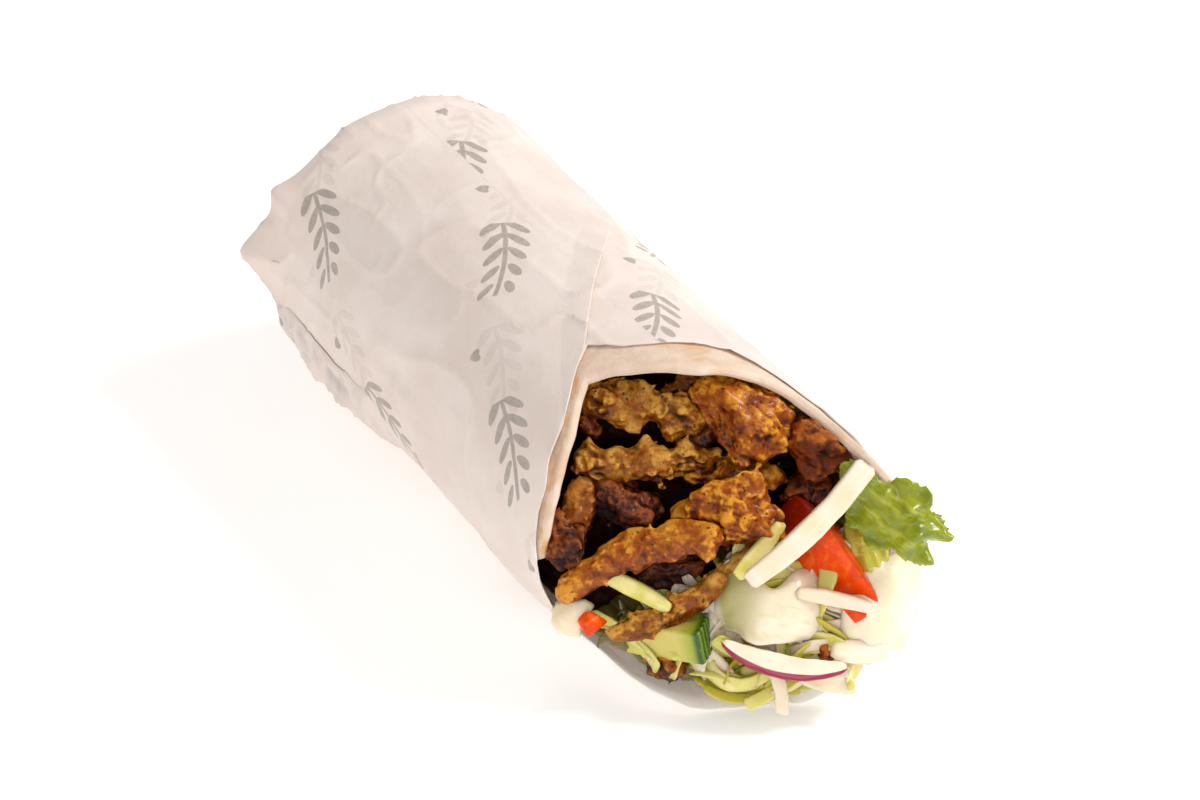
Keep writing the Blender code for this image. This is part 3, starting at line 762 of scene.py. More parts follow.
@dataclass(frozen=True)
class CrispLeaf:
    """Cabbage, lettuce or onion: pale and watery, with veins along its length and a coloured edge."""

    name: str
    flesh: Colour
    deep: Colour
    vein: Colour
    edge: Colour
    edge_from: float = 0.8
    edge_soft: float = 0.1
    streak: float = 0.45
    gloss: float = 0.3
    clear: float = 0.35
    patchy: float = 1.0
    heart: float = 0.0

    def material(self) -> bpy.types.Material:
        """The finish as a material.

        Returns:
            The new material.
        """
        shader = Shader(self.name)
        cloud = shader.grain(6.0, detail=3.0, warp=0.4)
        split = shader.node("ShaderNodeSeparateXYZ")
        shader.feed(split.inputs[0], shader.layer("leaf", vector=True))
        along, across, tint = split.outputs[0], split.outputs[1], split.outputs[2]
        patches = shader.math("MULTIPLY", shader.band(cloud, 0.35, 0.75), self.patchy)
        base = shader.mix(patches, self.flesh, self.deep)
        tinted = shader.math("MULTIPLY", tint, 0.7 * self.patchy, clamp=True)
        base = shader.mix(tinted, base, self.deep)
        # Greener and darker towards one end: partly the heart's own green and partly painted shade on the
        # side turned from the light.
        if self.heart:
            green = shader.math("MULTIPLY", shader.band(along, 3.0, -12.0), self.heart)
            base = shader.mix(green, base, self.deep)
        squeezed = shader.node("ShaderNodeCombineXYZ")
        shader.feed(squeezed.inputs[0], shader.math("MULTIPLY", along, 0.1))
        shader.feed(squeezed.inputs[1], across)
        shader.feed(squeezed.inputs[2], shader.math("MULTIPLY", tint, 4.0))
        streaks = shader.grain(1.3, detail=3.0, warp=0.3, at=squeezed.outputs[0])
        line = shader.math("MULTIPLY", shader.band(streaks, 0.5, 0.72), self.streak)
        base = shader.mix(line, base, self.vein)
        relief = shader.math("ADD", line, shader.math("MULTIPLY", shader.grain(0.8), 0.5))
        rim = shader.band(shader.layer("edge"), self.edge_from, self.edge_from + self.edge_soft)
        base = shader.mix(rim, base, self.edge)
        shader.set(Base_Color=base)
        shader.set(Roughness=shader.spread(cloud, self.gloss - 0.08, self.gloss + 0.12))
        shader.bump(relief, 0.18, 0.4)
        shader.soften(self.clear, 2.5, (1.0, 0.92, 0.65))
        return shader.material


@dataclass(frozen=True)
class WetTomato:
    """Tomato: smooth red skin and orange-red cut flesh with pale strands."""

    skin: Colour = srgb(124, 10, 3)
    flesh: Colour = srgb(240, 74, 0)
    light: Colour = srgb(252, 128, 34)

    def material(self) -> bpy.types.Material:
        """The finish as a material.

        Returns:
            The new material.
        """
        shader = Shader("wet_tomato")
        cloud = shader.grain(5.0, detail=3.0, warp=0.6)
        strand = shader.grain(1.6, detail=3.0, warp=0.5, stretch=(1.0, 0.35, 0.5))
        dark = shader.math("MULTIPLY", shader.band(cloud, 0.45, 0.8), 0.5)
        flesh = shader.mix(dark, self.flesh, self.skin)
        pale = shader.math("MULTIPLY", shader.band(strand, 0.5, 0.7), 0.5)
        flesh = shader.mix(pale, flesh, self.light)
        # The skin layer is the skin itself plus painted shade at one end of the wedge.
        shader.set(Base_Color=shader.mix(shader.layer("skin"), flesh, self.skin))
        shader.set(Roughness=shader.spread(cloud, 0.12, 0.3), Specular_IOR_Level=0.25)
        shader.bump(shader.math("ADD", shader.grain(0.9, detail=2.0), strand), 0.22, 0.5)
        shader.soften(0.3, 2.0, (1.0, 0.25, 0.1))
        return shader.material


@dataclass(frozen=True)
class CutCucumber:
    """Cucumber: dark ribbed skin, a bright ring under it and pale watery flesh."""

    skin: Colour = srgb(38, 82, 14)
    rib: Colour = srgb(104, 132, 34)
    ring: Colour = srgb(154, 166, 44)
    flesh: Colour = srgb(204, 190, 96)

    def material(self) -> bpy.types.Material:
        """The finish as a material.

        Returns:
            The new material.
        """
        shader = Shader("cut_cucumber")
        reach = shader.layer("reach")
        base = shader.ramp(
            reach, (0.0, self.flesh), (0.72, self.flesh), (0.9, self.ring), (0.97, self.skin)
        )
        ribs = shader.band(shader.layer("ribs"), 0.2, 0.9)
        at_skin = shader.band(reach, 0.95, 0.99)
        base = shader.mix(shader.math("MULTIPLY", ribs, at_skin), base, self.rib)
        cloud = shader.grain(2.5, detail=3.0)
        base = shader.mix(shader.math("MULTIPLY", shader.band(cloud, 0.5, 0.8), 0.35), base, self.ring)
        shader.set(Base_Color=base, Roughness=shader.spread(cloud, 0.15, 0.35))
        shader.bump(shader.grain(0.8, detail=2.0), 0.12, 0.4)
        shader.soften(0.3, 2.0, (0.8, 0.9, 0.3))
        return shader.material


@dataclass(frozen=True)
class Roll:
    """The roll's wall: a tube on a flat strip, with a rounded closed end and a slanted mouth."""

    radius: float = 38.0
    axis_height: float = 37.0
    end_x: float = -101.0
    shoulder: float = 16.0
    power: float = 2.4
    unevenness: float = 0.45

    def cap_x(self, share: Array, depth: float) -> Array:
        """Where a ring of the closed end lies along X, by its share of the radius."""
        rounded = 1.0 - (1.0 - np.clip(share, 0.0, 1.0) ** self.power) ** (1.0 / self.power)
        return self.end_x + depth + (self.shoulder - depth) * rounded

    def share_at(self, x: Array) -> Array:
        """The roll's share of its full radius at places along X."""
        run = np.clip((x - self.end_x) / self.shoulder, 0.0, 1.0)
        return (1.0 - (1.0 - run) ** self.power) ** (1.0 / self.power)

    def wall(self, x: Array, share: Array, degrees: Array, depth: Array | float) -> Array:
        """Points of the wall.

        Args:
            x: places along the roll.
            share: 1 on the side, falling to 0 at the closed end's centre.
            degrees: angles from +Y over the top.
            depth: how far under the paper's outer face, less than 0 above it.

        Returns:
            One point for each place.
        """
        turn = np.radians(degrees)
        place = np.stack((x / 34.0, 1.3 * np.cos(turn), 1.3 * np.sin(turn)), -1)
        uneven = self.unevenness * cad_noise(place)
        reach = share * (self.radius + uneven - depth)
        z = self.axis_height + reach * np.sin(turn)
        floor = np.maximum(depth, 0.0)
        return np.stack((x, reach * np.cos(turn), np.maximum(z, floor)), -1)


ROLL = Roll()


@dataclass(frozen=True)
class Rim:
    """A slanted mouth's edge, as angles from +Y over the top and how far along X it reaches there."""

    stops: tuple[tuple[float, float], ...]

    def reach(self, degrees: Array) -> Array:
        """How far the edge reaches, in straight runs between the stops.

        Args:
            degrees: angles from +Y over the top.

        Returns:
            Where the edge lies along X at each angle.
        """
        first = self.stops[0][0]
        angles = first + (degrees - first) % 360.0
        turns, places = zip(*self.stops, (first + 360.0, self.stops[0][1]))
        return np.interp(angles, turns, places)


PAPER_RIM = Rim((
    (-135, 41), (-129, 50), (-121, 61), (-111, 67), (-93, 72), (-75, 78), (-60, 81), (-35, 80),
    (-10, 76), (15, 71), (30, 63), (43, 54), (52, 45), (63, 38.5), (76, 34), (94, 29), (99, 27.5),
    (108, 20.5), (134, 34.5), (154, 39.5), (178, 43), (196, 45), (212, 44),
))
BREAD_RIM = Rim((
    (-135, 34), (-120, 46), (-90, 58), (-60, 66), (-30, 72), (0, 75), (15, 79), (25, 77), (33, 71),
    (40, 61), (48, 51), (60, 46.5), (83, 42.5), (108, 32), (117, 29), (134, 37.5), (154, 42.5),
    (170, 44), (180, 42), (188, 36), (200, 33), (212, 33),
))


def held_in(points: Array, room: float = 34.1, slope: float = 2.0) -> Array:
    """Presses points inside the flatbread, and lets them bulge out beyond its rim.

    Args:
        points: places in the roll's axes.
        room: the flatbread's inner radius.
        slope: how fast the room widens beyond the rim.

    Returns:
        The points, moved towards the roll's axis where they would cross the flatbread.
    """
    y, z = points[:, 1], points[:, 2] - ROLL.axis_height
    reach = np.hypot(y, z)
    rim = BREAD_RIM.reach(np.degrees(np.arctan2(z, y)))
    limit = room + slope * np.clip(points[:, 0] - rim + 0.5, 0.0, None)
    shrink = np.minimum(reach, limit) / np.maximum(reach, 1e-6)
    return np.stack((points[:, 0], y * shrink, ROLL.axis_height + z * shrink), -1)


def turn_between(degrees: Array, centre: float | Array) -> Array:
    """The difference of angles in degrees, from -180 to 180."""
    return (degrees - centre + 180.0) % 360.0 - 180.0


@dataclass
class PaperWrapper:
    """The greaseproof paper: a creased tube, its loose outer edge and a crumpled hem underneath."""

    finish: bpy.types.Material
    columns: int = 240
    cap_rows: int = 30
    side_rows: int = 165
    inner_rows: int = 28
    sheet: float = 0.28
    ears: tuple[tuple[float, float, float], ...] = ((171, 11, 12), (148, 7, 7), (-9, 11, 10))
    ear_x: float = -95.0
    ear_half: float = 9.0
    seam_x: float = 20.5
    seam_turn: float = 111.0
    seam_slope: float = 1.22
    loose_sheet: float = 0.16
    edge_start: float = -84.0
    edge_width: float = 34.0  # degrees round the roll
    edge_grid: tuple[int, int] = (170, 22)
    hem_start: float = -93.0
    hem_run: float = 57.0
    hem_turn: float = 189.0
    hem_width: float = 42.0
    hem_grid: tuple[int, int] = (120, 44)
    dent_size: float = 22.0
    fold_size: tuple[float, float, float] = (26.0, 13.0, 13.0)
    fine_size: tuple[float, float, float] = (11.0, 7.0, 7.0)
    fold_height: float = 0.55
    sunk: float = 0.35
    crease: tuple[tuple[float, float], ...] = ((-27.0, 168.0), (-22.8, 174.4), (-17.9, 181.8), (-12.0, 196.0))
    crease_width: float = 0.8
    crease_height: float = 1.1
    grain: Grain = field(default_factory=lambda: Grain(11))

    def seam(self, x: Array) -> Array:
        """The angle of the loose outer edge along the roll."""
        return self.seam_turn + self.seam_slope * (np.minimum(x, self.seam_x) - self.seam_x)

    def lift(self, x: Array, degrees: Array) -> Array:
        """How far the creases and soft dents stand above the plain tube.

        Args:
            x: places along the roll.
            degrees: angles from +Y over the top.

        Returns:
            Millimetres for each place.
        """
        turn = np.radians(degrees)
        around = ROLL.radius * np.stack((np.cos(turn), np.sin(turn)), -1)
        place = np.column_stack((x, around))
        soft = self.fold_height * self.grain.layered(place / self.dent_size, 2)
        folds = np.clip(self.grain.ridged(place / np.array(self.fold_size) + 3.1), 0, 1) ** 5
        fine = np.clip(self.grain.ridged(place / np.array(self.fine_size) + 9.7), 0, 1) ** 6
        near_end = bell(x + 96.0, 26.0)
        places, turns = zip(*self.crease)
        beside = x - np.interp(degrees % 360.0, turns, places)
        along = smooth_step(166.0, 172.0, degrees % 360.0) * smooth_step(204.0, 190.0, degrees % 360.0)
        step = np.clip(beside / self.crease_width, 0.0, 1.0) * smooth_step(17.0, 2.0, beside)
        wrinkles = self.fold_height * folds + (0.16 + 0.75 * near_end) * fine
        return soft + wrinkles + along * self.crease_height * step - self.sunk

    def ear_reach(self, x: Array, degrees: Array) -> Array:
        """How far the folded corners at the closed end stick out.

        Args:
            x: places along the roll.
            degrees: angles from +Y over the top.

        Returns:
            Millimetres for each place.
        """
        along = np.exp(-np.abs((x - self.ear_x) / self.ear_half) ** 1.6)
        total = np.zeros(len(x))
        for centre, half, reach in self.ears:
            total += reach * np.exp(-np.abs(turn_between(degrees, centre) / half) ** 1.35)
        return total * along

    def pleats(self, share: Array, degrees: Array) -> Array:
        """How deep the tucks of the closed end are.

        Args:
            share: the rings' shares of the full radius.
            degrees: angles from +Y over the top.

        Returns:
            Millimetres for each place.
        """
        turn = np.radians(degrees)
        place = np.stack((2.4 * np.cos(turn), 2.4 * np.sin(turn), 0.9 * share), -1)
        gathered = self.grain.layered(place + 5.0, 2)
        return 2.6 * gathered * np.sin(math.pi * np.clip(share, 0, 1)) * (1.2 - share)

    def surface(self, rows_x: Array, share: Array, degrees: Array, side: int) -> Array:
        """Points of the creased paper.

        Args:
            rows_x: places along the roll.
            share: the rings' shares of the full radius.
            degrees: angles from +Y over the top.
            side: 0 for the outer face and 1 for the inner one, which lies deeper at the closed end.

        Returns:
            One point for each place.
        """
        at_end = smooth_step(-66.0, -86.0, rows_x)
        depth = side * (self.sheet + 0.6 * at_end)
        lift = self.lift(rows_x, degrees) * smooth_step(0.0, 0.35, share)
        ears = self.ear_reach(rows_x, degrees) * share
        points = ROLL.wall(rows_x, share, degrees, depth - lift - ears)
        points[:, 0] += side * 0.9 * at_end - self.pleats(share, degrees)
        points[:, 2] = np.maximum(points[:, 2], depth)
        return points

    def rings(self, rows: int, cap_rows: int) -> tuple[Array, Array, Array]:
        """A grid of places round the whole roll.

        Args:
            rows: rings from the shoulder to the rim.
            cap_rows: rings over the closed end.

        Returns:
            Places along the roll, shares of the full radius and angles.
        """
        angles = -90.0 + 360.0 * np.arange(self.columns) / self.columns
        shares = np.linspace(0.02, 1.0, cap_rows) ** 0.75
        cap = np.repeat(shares[:, None], self.columns, 1)
        side_share = np.ones((rows, self.columns))
        start = ROLL.end_x + ROLL.shoulder
        reach = PAPER_RIM.reach(angles) + 0.5 * self.grain.at(
            np.stack((angles / 9.0, angles * 0, angles * 0), -1)
        )
        runs = np.linspace(0.0, 1.0, rows + 1)[1:, None]
        side_x = start + (reach[None, :] - start) * runs
        x = np.vstack((ROLL.cap_x(cap, 0.0), side_x))
        share = np.vstack((cap, side_share))
        degrees = np.repeat(angles[None, :], len(x), 0)
        return x.ravel(), share.ravel(), degrees.ravel()

    def sheet_place(self, x: Array, degrees: Array) -> Array:
        """Where points lie on the flat sheet, so that the print doesn't run on past the seam.

        Args:
            x: places along the roll.
            degrees: angles from +Y over the top.

        Returns:
            One place on the sheet for each point.
        """
        arc = np.radians(turn_between(degrees, -90.0)) * ROLL.radius
        under = turn_between(degrees, self.seam(x) + 4.0) < 0.0
        shift = np.where(under, 17.0, 0.0)
        return np.stack((x + shift, arc + 0.6 * shift, np.zeros(len(x))), -1)

    def tube(self) -> bpy.types.Object:
        """The wrapped paper itself.

        Returns:
            The new piece.
        """
        parts, layers, inside = [], [], []
        faces: Faces = []
        start = 0
        loops = []
        for side, (rows, cap_rows) in enumerate(
            ((self.side_rows, self.cap_rows), (self.inner_rows, 6))
        ):
            x, share, degrees = self.rings(rows, cap_rows)
            points = self.surface(x, share, degrees, side)
            centre = points[: self.columns].mean(0)
            parts += [points, centre[None, :]]
            layers += [self.sheet_place(x, degrees), np.zeros((1, 3))]
            inside.append(np.full(len(points) + 1, float(side)))
            count = rows + cap_rows
            faces += grid_faces(count, self.columns, True, start, flip=bool(side)).tolist()
            first = start + np.arange(self.columns)
            faces += fan_faces(start + len(points), first)
            loops.append(first + (count - 1) * self.columns)
            start += len(points) + 1
        faces += loop_faces(loops[0], loops[1]).tolist()
        return new_piece(
            "paper_wrapper_sheet",
            np.vstack(parts),
            faces,
            self.finish,
            {"sheet": np.vstack(layers), "inside": np.concatenate(inside)},
        )

    def thin_sheet(
        self, name: str, top: Array, rows: int, columns: int, place: Array, painted_crumple_shade: Array | None = None
    ) -> bpy.types.Object:
        """A loose sheet as a closed thin solid.

        Args:
            name: the piece's name.
            top: a grid of points on its upper face.
            rows: points one way.
            columns: points the other way, which vary fastest.
            place: where each point lies on the flat sheet.
            painted_crumple_shade: how much painted shade greys its crumples at each point.

        Returns:
            The new piece.
        """
        outward = top - np.array((0.0, 0.0, ROLL.axis_height))
        outward[:, 0] = 0.0
        outward /= np.linalg.norm(outward, axis=1, keepdims=True)
        below = top - self.loose_sheet * outward
        grey = np.zeros(len(top)) if painted_crumple_shade is None else painted_crumple_shade
        layers = {
            "sheet": np.vstack((place, place)),
            "inside": np.zeros(2 * len(top)),
            "crumple": np.concatenate((grey, grey)),
        }
        points = np.vstack((top, below))
        return new_piece(name, points, slab_faces(rows, columns), self.finish, layers)

    def outer_edge(self) -> bpy.types.Object:
        """The paper's loose outer edge, which winds back from the mouth's upper corner.

        Returns:
            The new piece.
        """
        rows, columns = self.edge_grid
        run = np.linspace(self.edge_start, self.seam_x - 0.6, rows)
        x = np.repeat(run, columns)
        share = np.tile(np.linspace(0.0, 1.0, columns), rows)
        wander = 0.7 * self.grain.at(np.stack((x / 16.0, x * 0, x * 0), -1))
        degrees = self.seam(x) + wander * (1 - share) + self.edge_width * share
        rim = PAPER_RIM.reach(self.seam_turn + self.edge_width * share) - 0.4
        x = run[0] + (rim - run[0]) * (x - run[0]) / (run[-1] - run[0])
        loose = 0.42 + 0.5 * np.clip(self.grain.at(np.stack((x / 12.0, share, x * 0 + 4.0), -1)), 0, 1)
        loose = 0.1 + loose * smooth_step(-24.0, 2.0, x)
        height = loose * (1 - share) ** 2 + 0.1 * (1 - share) - 0.22 * share**2
        lift = self.lift(x, degrees) + height
        points = ROLL.wall(x, np.ones(len(x)), degrees, -lift)
        arc = np.radians(turn_between(degrees, -90.0)) * ROLL.radius
        place = np.stack((x, arc, np.zeros(len(x))), -1)
        return self.thin_sheet("paper_outer_edge", points, rows, columns, place)

    def hem(self) -> bpy.types.Object:
        """The crumpled hem of the paper, low on the left near the closed end.

        Returns:
            The new piece.
        """
        rows, columns = self.hem_grid
        run = np.linspace(self.hem_start, self.hem_start + self.hem_run, rows)
        x = np.repeat(run, columns)
        share = np.tile(np.linspace(0.0, 1.0, columns), rows)
        ends = np.sin(math.pi * np.clip((x - self.hem_start) / self.hem_run, 0, 1)) ** 0.5
        edge = 3.0 * self.grain.layered(np.stack((x / 9.0, x * 0 + 2.0, x * 0), -1), 3)
        degrees = self.hem_turn + edge * (1 - share) + self.hem_width * share
        place = np.stack((x / 6.5, degrees / 9.0, np.zeros(len(x))), -1)
        crumple = self.grain.ridged(place) + 0.55 * self.grain.ridged(2.1 * place + 4.0)
        bulge = np.sin(math.pi * np.clip(share, 0, 1)) ** 0.7
        height = ends * (0.35 + bulge * (1.9 + 1.35 * crumple)) - 0.5 * (1 - ends) - 0.6 * share**4
        x = x + 0.8 * crumple * ends
        points = ROLL.wall(x, ROLL.share_at(x), degrees, -(self.lift(x, degrees) + height))
        arc = np.radians(turn_between(degrees, -90.0)) * ROLL.radius
        sheet = np.stack((x + 9.0, arc + 21.0, np.zeros(len(x))), -1)
        # Painted shade in the crumples' hollows, strongest where the hem bulges.
        painted_crumple_shade = 0.75 * ends * bulge * smooth_step(0.75, -0.3, crumple)
        return self.thin_sheet("paper_crumpled_hem", points, rows, columns, sheet, painted_crumple_shade)

    def build(self) -> None:
        """Makes and dresses the paper."""
        dress(self.tube(), "paper", "paper_wrapper")
        dress(self.outer_edge(), "paper")
        dress(self.hem(), "paper")


@dataclass
class Flatbread:
    """The rolled flatbread: a soft wall with a rounded, toasted rim just inside the paper."""

    finish: bpy.types.Material
    columns: int = 240
    rim_rows: int = 42
    hidden_rows: int = 10
    depth: float = 1.15
    thickness: float = 2.4
    rim_run: float = 34.0
    rounding: float = 1.2
    end_room: float = 2.2  # for the paper's tucks
    grain: Grain = field(default_factory=lambda: Grain(23))

    def profile(self) -> tuple[Array, Array]:
        """The section of the rounded rim, from the plain wall to the very edge.

        Returns:
            Distances back from the edge, and how far the rounding sets the faces in there.
        """
        back = np.concatenate((
            np.geomspace(self.rim_run, self.rounding, self.rim_rows),
            self.rounding - self.rounding * np.sin(np.linspace(0.15, math.pi / 2, 6)),
        ))
        half = self.thickness / 2
        bulge = np.sqrt(np.clip(1 - (1 - back / self.rounding) ** 2, 0, 1))
        return back, np.where(back > self.rounding, 0.0, half - half * bulge)

    def build(self) -> None:
        """Makes and dresses the flatbread."""
        angles = -90.0 + 360.0 * np.arange(self.columns) / self.columns
        zeros = angles * 0
        wavy = 0.7 * self.grain.layered(np.stack((angles / 14.0, zeros, zeros), -1), 2)
        rim = BREAD_RIM.reach(angles) + wavy
        paper = PAPER_RIM.reach(angles)
        back, rounded = self.profile()
        start = ROLL.end_x + ROLL.shoulder
        rows = []
        for share in np.linspace(0.03, 1.0, 8) ** 0.7:
            cap_x = ROLL.cap_x(np.full(self.columns, share), self.depth + self.end_room)
            rows.append((cap_x, share, 0.0, -1.0))
        for k in range(1, self.hidden_rows):
            run = start + (rim - self.rim_run - start) * k / self.hidden_rows
            rows.append((run, 1.0, 0.0, -1.0))
        for step, inset in zip(back, rounded):
            rows.append((rim - step, 1.0, inset, step))
        outer = [(x, s, self.depth + i, b) for x, s, i, b in rows]
        inner = [(x, s, self.depth + self.thickness - i, b) for x, s, i, b in rows[::-1]]
        points, toast = [], []
        for x, share, depth, step in outer + inner:
            x = np.broadcast_to(x, (self.columns,)).astype(float)
            turn = np.radians(angles)
            place = np.stack(
                (x / 9.0, ROLL.radius * np.cos(turn) / 9.0, ROLL.radius * np.sin(turn) / 9.0), -1
            )
            dents = 0.35 * self.grain.layered(place, 2) if step >= 0 else 0.0
            points.append(ROLL.wall(x, np.full(self.columns, share), angles, depth - dents))
            at_rim = bell(np.full(self.columns, step), self.rounding) if step >= 0 else zeros
            along_paper = bell(x - paper - 0.6, 1.0)
            left = smooth_step(106.0, 114.0, angles % 360.0) * (angles % 360.0 < 206.0)
            toast.append((0.16 - 0.1 * left) * at_rim + (0.18 + 0.24 * left) * along_paper)
        grid = np.vstack((*points, points[0].mean(0), points[-1].mean(0)))
        faces = tube_faces(len(points), self.columns)
        layer = np.concatenate((*toast, np.zeros(2)))
        piece = new_piece("flatbread_wall", grid, faces, self.finish, {"toast": layer})
        dress(piece, "bread", "flatbread")


def welded(node: str) -> bmesh.types.BMesh:
    """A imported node's mesh in millimetres.

    Args:
        node: the node's name.

    Returns:
        Its mesh, with the split corners joined.
    """
    bm = bmesh.new()
    bm.from_mesh(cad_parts[node].data)
    bmesh.ops.remove_doubles(bm, verts=bm.verts, dist=1e-6)
    bmesh.ops.scale(bm, vec=Vector((1 / MM,) * 3), verts=bm.verts)
    return bm


def remeshed(name: str, bm: bmesh.types.BMesh, voxel: float, smooth: int) -> tuple[Array, Faces]:
    """Fuses a mesh into one even skin.

    Args:
        name: a name for the passing object.
        bm: the mesh in millimetres, which is freed.
        voxel: the size of the new faces.
        smooth: how many times the skin is smoothed.

    Returns:
        Its points and its faces.
    """
    mesh = bpy.data.meshes.new(name)
    bm.to_mesh(mesh)
    bm.free()
    passing = bpy.data.objects.new(name, mesh)
    bpy.context.scene.collection.objects.link(passing)
    skin = passing.modifiers.new("skin", "REMESH")
    skin.mode = "VOXEL"
    skin.voxel_size = voxel
    relax = passing.modifiers.new("relax", "SMOOTH")
    relax.iterations = smooth
    graph = bpy.context.evaluated_depsgraph_get()
    made = bpy.data.meshes.new_from_object(passing.evaluated_get(graph))
    points = np.empty(len(made.vertices) * 3)
    made.vertices.foreach_get("co", points)
    faces = [list(p.vertices) for p in made.polygons]
    bpy.data.objects.remove(passing)
    bpy.data.meshes.remove(mesh)
    bpy.data.meshes.remove(made)
    return points.reshape(-1, 3), faces


def point_normals(points: Array, faces: Faces) -> Array:
    """The outward direction at each point of a mesh.

    Args:
        points: the mesh's points.
        faces: its quads.

    Returns:
        One direction for each point.
    """
    quads = np.array(faces)
    across = points[quads[:, 2]] - points[quads[:, 0]]
    along = points[quads[:, 3]] - points[quads[:, 1]]
    facing = np.cross(across, along)
    normals = np.zeros_like(points)
    for corner in range(4):
        np.add.at(normals, quads[:, corner], facing)
    return normals / np.maximum(np.linalg.norm(normals, axis=1, keepdims=True), 1e-9)


def standing_out(points: Array, faces: Faces, rounds: int) -> Array:
    """How far each point stands out of its surroundings.

    Args:
        points: the mesh's points.
        faces: its quads.
        rounds: how many edges away the surroundings reach, roughly squared.

    Returns:
        Millimetres for each point, less than 0 in a hollow.
    """
    quads = np.array(faces)
    pairs = np.vstack([quads[:, (k, (k + 1) % 4)] for k in range(4)])
    here, there = pairs.ravel(), pairs[:, ::-1].ravel()
    count = np.bincount(here, minlength=len(points))[:, None]
    calm = points
    for _ in range(rounds):
        sums = [np.bincount(here, calm[there, axis], len(points)) for axis in range(3)]
        calm = 0.5 * calm + 0.5 * np.stack(sums, -1) / count
    return ((points - calm) * point_normals(points, faces)).sum(1)


def meat_layers(points: Array, faces: Faces) -> dict[str, Array]:
    """What the meat's finish reads.

    Args:
        points: the mesh's points.
        faces: its quads.

    Returns:
        Where the surface stands out, and how deep in the mouth it lies, from 0 to 1. The finish paints shade
        into the hollows and deep places and light onto the ridges from these.
    """
    fine = standing_out(points, faces, 4)
    broad = standing_out(points, faces, 36)
    relief = np.clip(0.5 + 1.5 * fine + 0.7 * broad, 0.0, 1.0)
    return {"relief": relief, "deep": smooth_step(1.5, -10.5, MOUTH.out_of(points))}


def bmesh_of(points: Array, faces: Faces) -> bmesh.types.BMesh:
    """A mesh that can be edited.

    Args:
        points: its points.
        faces: the point numbers of each face.

    Returns:
        The new mesh.
    """
    mesh = bpy.data.meshes.new("passing")
    mesh.from_pydata(points.tolist(), [], faces)
    bm = bmesh.new()
    bm.from_mesh(mesh)
    bpy.data.meshes.remove(mesh)
    return bm


@dataclass(frozen=True)
class Cut:
    """How one piece of meat looks: its seed, how deep its tears are and where its fibres point.

    The solid's own bumps are smoothed first, as many times as calm says.
    """

    node: str
    look: MeatLook
    seed: int
    crag: float
    lie: float
    calm: int = 3


